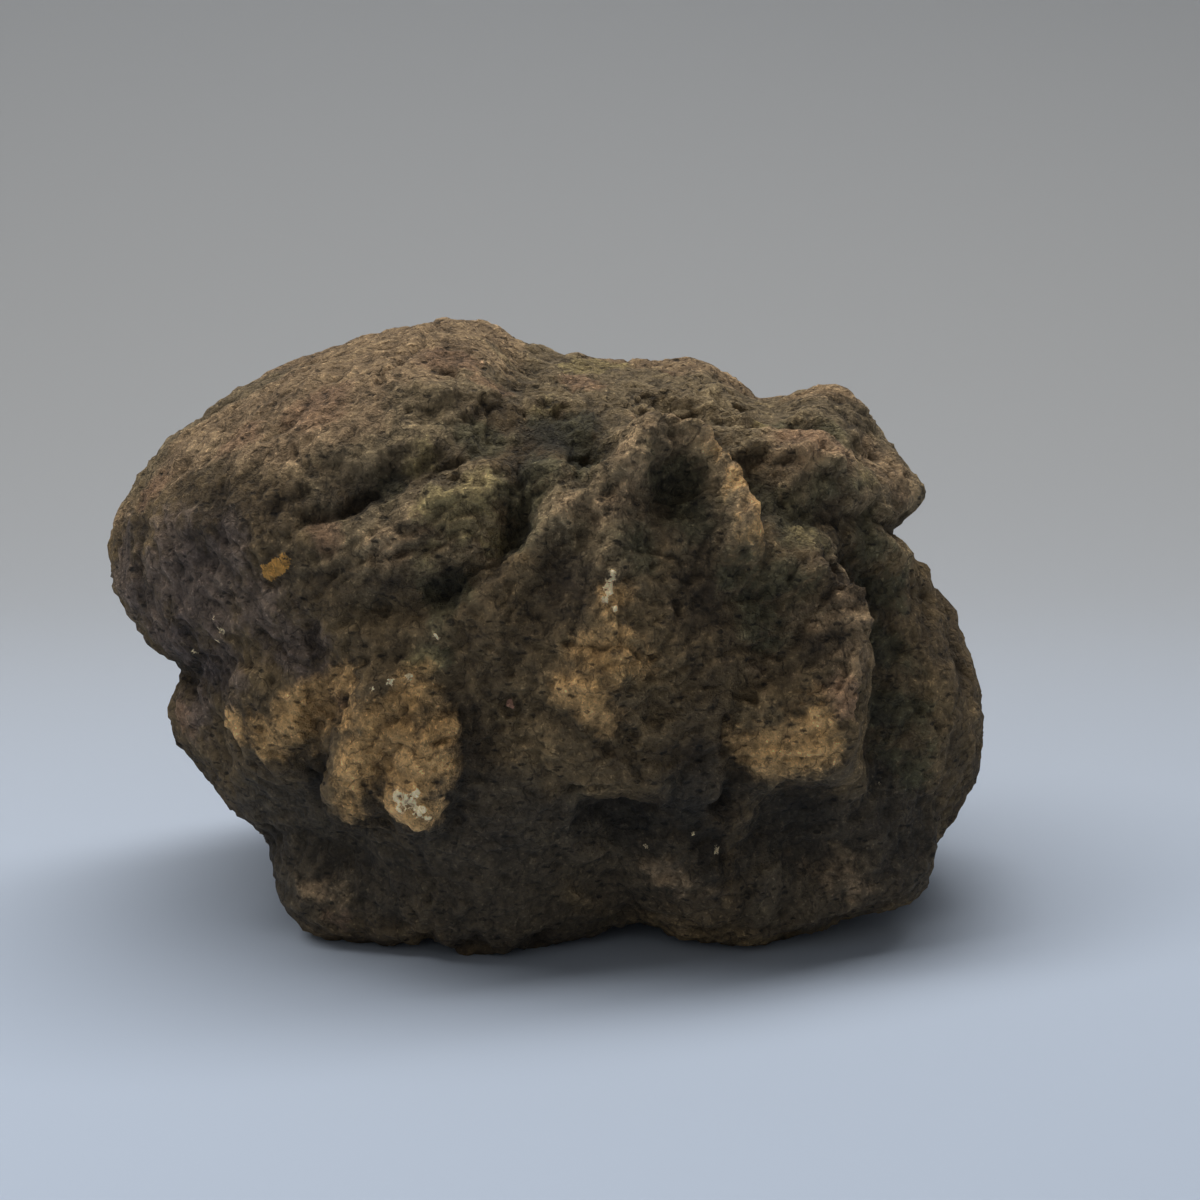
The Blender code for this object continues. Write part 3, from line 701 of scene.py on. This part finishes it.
CRACK_WANDER = wandered_from(PLAIN, ((5.0, 0.7),))
DETAIL = np.zeros(len(PLAIN))
for line, half_width, depth in CRACKS:
    gap, _, _ = gap_to_line(CRACK_WANDER, line)
    DETAIL -= depth * swell(gap / half_width, 0.5)
DETAIL -= grains(CRUMB_SOCKET, 1.8)
DETAIL += grains(PINK_CRUMB, 1.5) + grains(PALE_GRAINS, 0.6)
DETAIL += grains(QUARTZ_GLINT, 1.0) + grains(NUGGET, 0.9) + grains(END_KNOB, 1.6)
print(len(CRACKS), "cracks, relief", DETAIL.min().round(2), "to", DETAIL.max().round(2), "mm")

# %% [markdown]
# ## The finished skin
#
# The fine relief goes on along the normals, so that steep sides get as much of it as level ones. The stone is
# then cut level where it rests, by lifting what lies lower, and fitted to the solid's box.

# %% Put the skin together
def fitted(points):
    """Maps the skin's own box onto the solid's, with the resting level kept."""
    level = points.copy()
    level[:, 2] = np.maximum(level[:, 2], 0)
    low, high = level.min(axis=0), level.max(axis=0)
    return SOLID_LOW + (level - low) * (SOLID_HIGH - SOLID_LOW) / (high - low)


RAW_SKIN = BODY + BODY_NORMALS * (FINE_HEIGHT + DETAIL)[:, None]
SKIN = fitted(RAW_SKIN)
SHIFT = (SKIN - RAW_SKIN)[RAW_SKIN[:, 2] > 10].mean(axis=0)
NORMALS = normals_of(SKIN)
print("shift from the drawn place, mm:", SHIFT.round(2))


def surface(name, points, faces):
    """A smooth-shaded mesh object at the origin, in metres."""
    mesh = bpy.data.meshes.new(name)
    mesh.from_pydata(points / 1000, [], faces.tolist())
    mesh.polygons.foreach_set("use_smooth", np.ones(len(mesh.polygons), bool))
    piece = bpy.data.objects.new(name, mesh)
    bpy.context.scene.collection.objects.link(piece)
    return piece


crust = surface("geode_crust", SKIN, FACES)
print("longest edge, mm:", np.linalg.norm(SKIN[EDGE_FROM] - SKIN[EDGE_TO], axis=1).max().round(2))

# %% [markdown]
# ## Stains, and painted light and shade
#
# Colour on such a stone is a stack of thin things: brown iron stain all through, purple-grey where the iron
# is richer, ochre where the crust is rubbed through, grey-green algae in the damp hollows, a few yellower
# patches of lichen, pale dust on the high ground with a painted top light over it, dark dirt in every pit
# with painted shade over it, under the overhangs and in the hollows, and a painted highlight on the crests.
# Each gets a mask on the skin.

# %% Masks
UP = NORMALS[:, 2]
RELIEF = FINE_HEIGHT + DETAIL
FINE_OUT = RELIEF - averaged(RELIEF, 10)
CRESTS = np.clip((SOLID_HEIGHT - averaged(SOLID_HEIGHT, 25)) / 1.2, -1, 1)

# rubbed through to ochre, most of all on the boss
RUBBED_BOSS = zone(
    (
        ((-25, 60), 5), ((-28, 55), 6), ((-21, 52), 4.5), ((-31, 47), 6), ((-25, 45), 6), ((-36, 37), 4),
        ((-19, 46), 4), ((-35, 43), 4), ((-37, 55), 3), ((-23, 39), 3.5),
    ),
    3.5,
)
RUBBED_RIBS = zone(
    (
        # foot of the blocky rib
        ((44, 48), 5), ((49, 49), 5.5), ((50, 54), 3.5),
        # lip on the right of the arch
        ((38.5, 98), 3.4), ((40.5, 93), 3.0), ((37, 102), 2.6), ((41, 89), 2.4),
        # centre rib
        ((14.5, 77), 2.6), ((15.5, 71), 3), ((11, 66), 6), ((17, 67), 4), ((9, 60), 5.5), ((13, 56), 3.2),
        # lower left lobe
        ((-44, 56), 5), ((-48, 53), 6), ((-55, 49), 4.5), ((-42, 59), 3), ((-39, 62), 3), ((-60, 50), 3),
        # round the back, so that it is the same stone from there
        ((-30, 70, 44), 7), ((-24, 72, 38), 6), ((36, 70, 40), 6), ((58, 50, 78), 5), ((-84, 20, 62), 6),
        ((10, 72, 90), 6),
    ),
    4.5,
)
OCHRE = np.maximum(RUBBED_BOSS, 0.94 * RUBBED_RIBS)
# algae in the damp hollows
GREEN = zone(
    (
        ((4, 110), 8), ((-13, 109), 5), ((-6, 97), 5), ((-19, 96), 4), ((-4, 91), 5), ((27, 99), 6),
        ((31, 93), 5), ((49, 96), 4), ((56, 96), 4), ((62, 96), 4), ((6, 103), 5), ((-20, 77), 5),
        ((48, 81), 7), ((53, 88), 5), ((40, 85), 5), ((62, 107), 4), ((52, 108), 4), ((70, 85), 6),
        ((75, 75), 5), ((77, 62), 5), ((77, 50), 5), ((78, 39), 5), ((-22, 68), 4.5), ((0, 102), 5),
        ((-17, 81), 4), ((20, 89), 4), ((-30, 99), 3), ((46, 72), 4), ((-50, 62, 66), 12),
        ((20, 74, 66), 14), ((50, 60, 60), 10), ((-10, 64, 96), 10), ((4, 66, 24), 14), ((88, 20, 60), 12),
    ),
    5,
)
# iron-rich skin under the left shoulder, and at that end
PURPLE = zone(
    (
        ((-70, 75), 10), ((-80, 66), 8), ((-58, 76), 8), ((-68, 60), 8), ((-73, 52), 6), ((-50, 68), 8),
        ((-76, 82), 9), ((-90, 76), 10), ((-62, 84), 8), ((-84, -6, 60), 16), ((-70, 40, 70), 16),
        ((40, 64, 80), 14),
    ),
    7,
)
# pale wear and dust on the high ground, the lips and the low knobs, partly a painted top light where these
# are lit
PALE_DUST_AND_PAINTED_LIGHT = zone(
    (
        ((-50, 114), 20), ((-30, 122), 16), ((-16, 124), 9), ((-73, 105), 14), ((-38, 112), 10),
        ((23, 110), 4), ((30, 110), 4), ((38, 99), 4.5), ((40, 93), 4), ((16, 97), 6), ((52, 104), 6),
        ((62, 101), 5), ((71, 100), 8), ((76, 92), 6), ((62, 112), 8), ((58, 74), 5), ((59, 66), 6),
        ((57, 59), 5), ((53, 72), 3.5), ((-93, 87), 4), ((24, 21), 5), ((24, 12), 4), ((54, 18), 3),
        ((59, 19), 3), ((-42, 18), 2.5), ((-34, 10, 122), 30), ((30, 30, 112), 24), ((50, 102), 5),
        ((14, 102), 3), ((19, 105), 3), ((-22, 90), 5.5), ((-17, 93), 5), ((25, 105), 3), ((31, 104), 3),
        ((35, 99), 3), ((38, 93), 3.5), ((38, 88), 3), ((12, 95), 4), ((6, 95), 2.5), ((0, 90), 2),
        ((-28, 87), 5), ((-13, 88), 3.5), ((56, 80), 3), ((52, 83), 2.5), ((59, 71), 3), ((46, 62), 2.5),
        ((65, 93), 3), ((72, 87), 3),
    ),
    5,
)
# pinkish clay
ROSE = zone(
    (
        ((-10, 118), 4), ((-46, 112), 7), ((-62, 106), 6), ((8, 117), 6), ((28, 118), 5), ((52, 104), 5),
        ((58, 102), 4), ((-20, 122), 7), ((-84, 94), 6), ((56, 57), 4), ((-75, 48), 3), ((-42, 88), 4),
        ((-40, 57), 3), ((-37, 15), 2),
    ),
    4,
)
# lighter high up, as dust and as painted top light, but for the shoulder's lower slope and the valley beside
# it
HIGH_STARTS = 68
HIGH_IS_FULL = 102
HIGH_DUST_AND_PAINTED_TOP_LIGHT = (BODY[:, 2] + 4 * lumps(BODY, 30, 3.7) - HIGH_STARTS) / (HIGH_IS_FULL - HIGH_STARTS)
HIGH_DUST_AND_PAINTED_TOP_LIGHT = np.clip(HIGH_DUST_AND_PAINTED_TOP_LIGHT, 0, 1)
HIGH_DUST_AND_PAINTED_TOP_LIGHT -= 0.8 * HIGH_DUST_AND_PAINTED_TOP_LIGHT * zone((((-80, 90), 15), ((-66, 94), 12), ((-52, 96), 10), ((-88, 84), 12)), 8)
HIGH_DUST_AND_PAINTED_TOP_LIGHT -= 0.9 * HIGH_DUST_AND_PAINTED_TOP_LIGHT * zone((((2, 109), 10), ((-6, 102), 7), ((-9, 112), 5)), 5)
# painted shade under the overhangs, and dirt with painted shade in the deepest holes
PAINTED_SHADE_HOLLOWS = zone(
    (
        ((20, 29), 8), ((43, 38), 5), ((56, 29), 7), ((30, 34), 6), ((-35, 98), 4), ((0, 109), 7),
        ((9, 111), 5), ((-8, 85), 3), ((-19, 81), 4), ((10, 33), 6), ((26, 36), 6), ((33, 28), 7),
        ((-36, 97), 6), ((-41, 94), 4), ((-30, 101), 4), ((-5, 104), 5), ((47, 93), 3), ((-18, 80), 3),
        ((-40, 33), 3), ((-46, 40), 3), ((74, 60), 3), ((74, 50), 3),
    ),
    5,
)
# yellower patches
LICHEN = zone(
    (
        ((-18, 93), 6), ((-13, 97), 5), ((-24, 103), 4), ((1, 114), 3.5), ((-22, 88), 3), ((-10, 90), 2.5),
        ((54, 86), 2.5), ((66, 97), 3), ((-24, 66), 3), ((47, 108), 3), ((-20, 40, 112), 9),
        ((40, 52, 92), 8), ((-60, 44, 92), 8), ((10, 10, 118), 8),
    ),
    4,
)
# a little green in every hollow of 3 mm or more that is over 40 mm up
DAMP = 0.35 * np.clip(-STANDS_OUT / 3, 0, 1) * (BODY[:, 2] > 40)
PALE = grains(PALE_GRAINS + QUARTZ_GLINT, 1.0)
print("ochre covers", (OCHRE > 0.5).mean().round(3), "and green", (GREEN > 0.5).mean().round(3))

# %% Keep the masks on the mesh
MASKS = {
    # dust and painted top light on the high ground
    "high": HIGH_DUST_AND_PAINTED_TOP_LIGHT,
    "ochre": OCHRE,
    "green": np.clip(GREEN + DAMP - 0.25 * (UP < -0.2), 0, 1),
    "purple": PURPLE,
    # more on faces that look up: dust, and painted top light
    "pale_dust_and_painted_light": np.clip(PALE_DUST_AND_PAINTED_LIGHT * (0.75 + 0.3 * UP) + 0.08 * np.clip(UP, 0, 1), 0, 1),
    "rose": ROSE,
    "lichen": LICHEN,
    "low": SMOOTH_LOW,
    # painted shade under the overhangs, and dirt with painted shade in every hollow
    "dirt_and_painted_shade": np.clip(np.maximum(PAINTED_SHADE_HOLLOWS, -STANDS_OUT / 20), 0, 1),
    # lighter on crests and darker in hollows: partly rubbed wear, partly a painted highlight on crests and
    # painted shade in hollows
    "wear_and_painted_shading": np.clip(0.5 + 0.07 * STANDS_OUT + 0.30 * CRESTS + 0.45 * FINE_OUT, 0, 1),
    "pale": PALE,
    "glint": grains(QUARTZ_GLINT, 1.0),
    "nugget": grains(NUGGET, 1.0),
    "pink": grains(PINK_CRUMB, 1.0),
}
for name, mask in MASKS.items():
    layer = crust.data.attributes.new(name, "FLOAT", "POINT")
    layer.data.foreach_set("value", mask.astype(np.float32))
print(len(MASKS), "masks")


# %% [markdown]
# ## The material
#
# The stone is a chalcedony and quartz nodule with a weathered crust of clay and iron oxides. Such a crust is
# matt: light sinks into its grain, and only the worn lower front has a faint sheen from handling. Every mask
# is joined with noise before it is cut, so each stain frays at the scale of the grain.

# %% Colours, and one helper for nodes
def linear(colour):
    """sRGB hex to the linear red, green, blue and alpha that Blender's colour sockets hold."""
    channels = [int(colour[k : k + 2], 16) / 255 for k in (1, 3, 5)]
    return tuple(c / 12.92 if c <= 0.04045 else ((c + 0.055) / 1.055) ** 2.4 for c in channels) + (1.0,)


def add(tree, kind, inputs=(), **settings):
    """Adds a node: settings are its properties, and inputs are values, or sockets to link from."""
    node = tree.nodes.new("ShaderNode" + kind)
    for name, value in settings.items():
        setattr(node, name, value)
    for key, value in dict(inputs).items():
        if isinstance(value, bpy.types.NodeSocket):
            tree.links.new(value, node.inputs[key])
        else:
            node.inputs[key].default_value = value
    return node


def per_metre(millimetres):
    """A texture's scale for a pattern of this size, since object coordinates are in metres."""
    return 1000 / millimetres


STAINS_AND_PAINTED_LIGHT = (
    # mask, low and high end of the cut, how much the grain frays it, strength, two colours
    # the high ground: dust, and painted top light
    ("high", 0.20, 0.90, 1.1, 0.80, "#ac9772", "#6a5c47"),
    ("purple", 0.25, 0.80, 1.1, 0.62, "#84736b", "#5c504b"),
    ("low", 0.30, 0.80, 0.7, 0.80, "#574d3d", "#3c352b"),
    # pale dust and wear, partly painted top light
    ("pale_dust_and_painted_light", 0.25, 0.85, 1.0, 0.85, "#bd9f79", "#866f54"),
    ("rose", 0.35, 0.80, 0.9, 0.60, "#b28b6a", "#8a6b53"),
    ("green", 0.30, 0.85, 1.0, 0.70, "#6c694c", "#3f3f2e"),
    ("lichen", 0.25, 0.80, 1.3, 0.85, "#b9a571", "#716347"),
    ("ochre", 0.28, 0.80, 1.2, 0.92, "#eec082", "#a67f4b"),
    # dirt and painted shade in the hollows and under the overhangs
    ("dirt_and_painted_shade", 0.25, 0.95, 0.5, 0.60, "#35322a", "#24221e"),
)
SINGLE_GRAINS = (
    # mask, colour, and how high the grit has to lift the mask to show it
    ("nugget", "#d19c50", 1.6),
    ("pink", "#b98a70", 1.6),
    ("pale", "#fbe3b4", 1.75),
)
print(len(STAINS_AND_PAINTED_LIGHT), "stains and", len(SINGLE_GRAINS), "kinds of single grain")

# %% Sizes of the crust's patterns, in millimetres
BLOTCH = 22.0
GRAIN = 9.0
GRIT = 1.6
PORE = 2.6
SLOT = 3.6
FOLD = 6.5
FLECK = 0.9
CELLS_STRAY = 1.5
BUMP_DEPTH = 2.2


# %% Patterns that stains, dirt and bump share
def crust_patterns(tree):
    """The sockets of each pattern, by name."""
    place = add(tree, "TexCoord").outputs["Object"]
    noises = []
    for size, detail, roughness in ((BLOTCH, 5.0, 0.62), (GRAIN, 7.0, 0.72), (GRIT, 4.0, 0.7)):
        inputs = {"Vector": place, "Scale": per_metre(size), "Detail": detail, "Roughness": roughness}
        noises.append(add(tree, "TexNoise", inputs))
    blotches, grain, grit = noises
    # cells whose edges the grit pushes about
    push = {0: grit.outputs["Color"], "Scale": CELLS_STRAY / 1000}
    push = add(tree, "VectorMath", push, operation="SCALE").outputs[0]
    pushed = add(tree, "VectorMath", {0: place, 1: push}, operation="ADD").outputs[0]
    pores = add(tree, "TexVoronoi", {"Vector": pushed, "Scale": per_metre(PORE)}, feature="F1")
    # short dark slots that rise to the right, in some cells of a flattened pattern
    flat = {"Vector": pushed, "Rotation": (0.0, 0.45, 0.0), "Scale": (1.0, 1.0, 2.4)}
    flat = add(tree, "Mapping", flat).outputs[0]
    slots = add(tree, "TexVoronoi", {"Vector": flat, "Scale": per_metre(SLOT)}, feature="F1")
    spared = {0: slots.outputs["Color"], 1: 0.45}
    spared = add(tree, "Math", spared, operation="GREATER_THAN").outputs[0]
    slots = {0: slots.outputs["Distance"], 1: spared}
    slots = add(tree, "Math", slots, operation="ADD").outputs[0]
    # dark wavy folds, where a noise crosses its middle value
    folds = {"Vector": pushed, "Scale": per_metre(FOLD), "Detail": 3.0}
    folds = add(tree, "TexNoise", folds).outputs[0]
    folds = add(tree, "Math", {0: folds, 1: 0.5}, operation="SUBTRACT").outputs[0]
    folds = add(tree, "Math", {0: folds}, operation="ABSOLUTE").outputs[0]
    flecks = {"Vector": place, "Scale": per_metre(FLECK), "Detail": 2.0}
    return {
        "blotches": blotches.outputs[0],
        "grain": grain.outputs[0],
        "grit": grit.outputs[0],
        "pores": pores.outputs["Distance"],
        "slots": add(tree, "MapRange", {0: slots, 1: 0.17, 2: 0.27}).outputs[0],
        "folds": add(tree, "MapRange", {0: folds, 1: 0.0, 2: 0.022}).outputs[0],
        "flecks": add(tree, "TexNoise", flecks).outputs[0],
    }


# %% Stains over the brown
def stained(tree, patterns):
    """Brown from dark to light by blotches, then each stain, painted light and painted shade where its frayed
    mask is, then single grains.
    """
    base = add(tree, "ValToRGB", {0: patterns["blotches"]})
    for stop, position, colour in zip(base.color_ramp.elements, (0.36, 0.66), ("#4a3d2c", "#8e7753")):
        stop.position = position
        stop.color = linear(colour)
    colour = base.outputs[0]
    shade = add(tree, "MapRange", {0: patterns["grain"], 1: 0.36, 2: 0.64}).outputs[0]
    uneven = add(tree, "Math", {0: shade, 1: -0.5}, operation="ADD").outputs[0]
    for name, low, high, fray, strength, light, dark in STAINS_AND_PAINTED_LIGHT:
        mask = add(tree, "Attribute", attribute_name=name).outputs["Fac"]
        frayed = {0: uneven, 1: fray * 0.5, 2: mask}
        frayed = add(tree, "Math", frayed, operation="MULTIPLY_ADD").outputs[0]
        share = {0: frayed, 1: low, 2: high, 4: strength}
        share = add(tree, "MapRange", share, interpolation_type="SMOOTHSTEP").outputs[0]
        tone = {0: shade, 6: linear(dark), 7: linear(light)}
        tone = add(tree, "Mix", tone, data_type="RGBA").outputs[2]
        colour = add(tree, "Mix", {0: share, 6: colour, 7: tone}, data_type="RGBA").outputs[2]
    for name, tint, cut in SINGLE_GRAINS:
        mask = add(tree, "Attribute", attribute_name=name).outputs["Fac"]
        mask = {0: patterns["grit"], 1: 2.0, 2: mask}
        mask = add(tree, "Math", mask, operation="MULTIPLY_ADD").outputs[0]
        mask = add(tree, "MapRange", {0: mask, 1: cut, 2: cut + 0.12}).outputs[0]
        colour = add(tree, "Mix", {0: mask, 6: colour, 7: linear(tint)}, data_type="RGBA").outputs[2]
    return colour


# %% Wear, dirt, and painted light and shade
def wear_dirt_and_painted_shade(tree, patterns, colour):
    """Lighter on rubbed edges, partly a painted highlight, and on flecks, speckled by the grit, darker in
    pits, pores, slots and folds, as dirt and painted shade.
    """
    wear_and_painted_shading = add(tree, "Attribute", attribute_name="wear_and_painted_shading").outputs["Fac"]
    for pattern, low, high, at_low, at_high in (
        (wear_and_painted_shading, 0.15, 0.85, 0.58, 1.42),
        (patterns["grit"], 0.34, 0.66, 0.58, 1.44),
        # pores, slots and folds darker: dirt, and painted shade in grooves too fine for the mesh
        (patterns["pores"], 0.06, 0.22, 0.45, 1.0),
        (patterns["slots"], 0.0, 1.0, 0.34, 1.0),
        (patterns["folds"], 0.0, 1.0, 0.55, 1.0),
        (patterns["flecks"], 0.60, 0.72, 1.0, 1.9),
    ):
        lightness = {0: pattern, 1: low, 2: high, 3: at_low, 4: at_high}
        lightness = add(tree, "MapRange", lightness).outputs[0]
        colour = {0: colour, "Scale": lightness}
        colour = add(tree, "VectorMath", colour, operation="SCALE").outputs[0]
    return colour


# %% Gloss and the finest relief
def crust_gloss(tree):
    """Matt clay, a faint sheen on the handled lower front, and the gloss of bare quartz."""
    low = add(tree, "Attribute", attribute_name="low").outputs["Fac"]
    matt = add(tree, "MapRange", {0: low, 1: 0.2, 2: 1.0, 3: 0.92, 4: 0.78}).outputs[0]
    glint = add(tree, "Attribute", attribute_name="glint").outputs["Fac"]
    return add(tree, "Mix", {0: glint, 2: matt, 3: 0.22}, data_type="FLOAT").outputs[0]


def finest_relief(tree, patterns):
    """Bump for grain, grit, pores, folds and slots too fine for the mesh, a little lower on the low front."""
    rough = {0: patterns["grit"], 1: 1.5, 2: patterns["grain"]}
    rough = add(tree, "Math", rough, operation="MULTIPLY_ADD").outputs[0]
    pores = add(tree, "MapRange", {0: patterns["pores"], 1: 0.05, 2: 0.45}).outputs[0]
    for pattern, height in ((pores, 0.35), (patterns["folds"], 0.22), (patterns["slots"], 0.30)):
        rough = {0: pattern, 1: height, 2: rough}
        rough = add(tree, "Math", rough, operation="MULTIPLY_ADD").outputs[0]
    low = add(tree, "Attribute", attribute_name="low").outputs["Fac"]
    keep = add(tree, "MapRange", {0: low, 1: 0.2, 2: 1.0, 3: 1.0, 4: 0.8}).outputs[0]
    bump = {"Height": rough, "Distance": BUMP_DEPTH / 1000, "Strength": keep}
    return add(tree, "Bump", bump).outputs[0]


# %% The crust's material
def weathered_crust():
    """Clay and iron oxide over quartz: matt, grainy, darker in each pit, as dirt and painted shade, and
    lighter on each rubbed edge, partly as a painted highlight.
    """
    material = bpy.data.materials.new("weathered iron-stained crust")
    material.use_nodes = True
    tree = material.node_tree
    shader = tree.nodes["Principled BSDF"]
    patterns = crust_patterns(tree)
    colour = wear_dirt_and_painted_shade(tree, patterns, stained(tree, patterns))
    tree.links.new(colour, shader.inputs["Base Color"])
    tree.links.new(crust_gloss(tree), shader.inputs["Roughness"])
    tree.links.new(finest_relief(tree, patterns), shader.inputs["Normal"])
    return material


crust.data.materials.append(weathered_crust())
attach(crust, "root")
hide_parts("geode")

# %% [markdown]
# ## The stage
#
# The stone lies on pale paper that sweeps up behind it with no fold. The sweep is a profile, level floor,
# quarter circle and upright wall, carried sideways.

# %% Paper sweep
FLOOR_BACK = 0.34
SWEEP_RADIUS = 0.30
PAPER_REACH = 1.6
BEND_POINTS = 25
ACROSS_POINTS = 9


def paper_sweep():
    """A profile of places (y, z), carried from left to right: along the profile, and across."""
    angle = np.linspace(0, np.pi / 2, BEND_POINTS)
    bend_y = FLOOR_BACK + SWEEP_RADIUS * np.sin(angle)
    bend_z = SWEEP_RADIUS * (1 - np.cos(angle))
    profile_y = np.concatenate(((-PAPER_REACH, -0.6, 0.0), bend_y, (FLOOR_BACK + SWEEP_RADIUS,)))
    profile_z = np.concatenate(((0.0, 0.0, 0.0), bend_z, (PAPER_REACH,)))
    across = np.linspace(-PAPER_REACH, PAPER_REACH, ACROSS_POINTS)
    x, y = np.meshgrid(across, profile_y)
    _, z = np.meshgrid(across, profile_z)
    points = np.stack((x, y, z), axis=-1)
    index = np.arange(x.size).reshape(x.shape)
    around = (index[:-1, :-1], index[:-1, 1:], index[1:, 1:], index[1:, :-1])
    return surface("paper_sweep", points.reshape(-1, 3) * 1000, np.stack(around, axis=-1).reshape(-1, 4))


def matt_paper():
    """Uncoated paper, pale and dull: a bluish painted tint of sky light at the front, greyer and darker
    towards the back.
    """
    material = bpy.data.materials.new("matt paper")
    material.use_nodes = True
    tree = material.node_tree
    shader = tree.nodes["Principled BSDF"]
    place = add(tree, "TexCoord").outputs["Object"]
    depth = add(tree, "SeparateXYZ", {0: place}).outputs[1]
    back = add(tree, "MapRange", {0: depth, 1: -0.2, 2: 0.6}, interpolation_type="SMOOTHSTEP").outputs[0]
    # bluish at the front as a painted tint of sky light, greyer and darker towards the back
    front = linear("#c2cfe2")
    behind = linear("#a9abad")
    colour = add(tree, "Mix", {0: back, 6: front, 7: behind}, data_type="RGBA").outputs[2]
    tree.links.new(colour, shader.inputs["Base Color"])
    shader.inputs["Roughness"].default_value = 0.95
    shader.inputs["Specular IOR Level"].default_value = 0.15
    return material


sweep = paper_sweep()
sweep.data.materials.append(matt_paper())
sweep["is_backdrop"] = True

# %% [markdown]
# ## Light and camera
#
# A wide soft light hangs above and behind the stone, so the top is bright and the lower front is in its own
# shade. A weak light from the front opens the hollows, and the rest of the room is a dim even grey.

# %% Lights
def softbox(name, place, target, width, depth, watts, colour):
    """A rectangular soft light at a place, turned to its target."""
    light = bpy.data.lights.new(name, "AREA")
    light.shape = "RECTANGLE"
    light.size = width
    light.size_y = depth
    light.energy = watts
    light.color = linear(colour)[:3]
    holder = bpy.data.objects.new(name, light)
    away = np.array(target) - np.array(place)
    holder.location = place
    holder.rotation_euler = (
        math.atan2(math.hypot(away[0], away[1]), -away[2]),
        0.0,
        math.atan2(-away[0], away[1]),
    )
    bpy.context.scene.collection.objects.link(holder)
    return holder


softbox("top_light", (-0.10, 0.19, 1.15), (0.0, 0.0, 0.05), 2.4, 0.4, 17.8, "#fffdfa")
softbox("front_fill", (-0.3, -1.3, 0.6), (0.0, 0.0, 0.05), 1.2, 1.2, 1.7, "#fffdfa")

world = bpy.data.worlds.new("dim room")
world.use_nodes = True
world.node_tree.nodes["Background"].inputs["Color"].default_value = linear("#e8e8e8")
world.node_tree.nodes["Background"].inputs["Strength"].default_value = 0.12
bpy.context.scene.world = world
bpy.context.scene.view_settings.view_transform = "Standard"

# %% Camera
EYE = np.array((12.0, -540.0, 161.6)) + SHIFT * (1, 1, 0)
LOOKS_DOWN_DEGREES = 10.1
FOCAL_LENGTH = 72.0

camera_data = bpy.data.cameras.new("camera")
camera_data.lens = FOCAL_LENGTH
camera_data.sensor_width = 36.0
camera = bpy.data.objects.new("camera", camera_data)
camera.location = EYE / 1000
camera.rotation_euler = (math.radians(90 - LOOKS_DOWN_DEGREES), 0.0, 0.0)
bpy.context.scene.collection.objects.link(camera)
bpy.context.scene.camera = camera
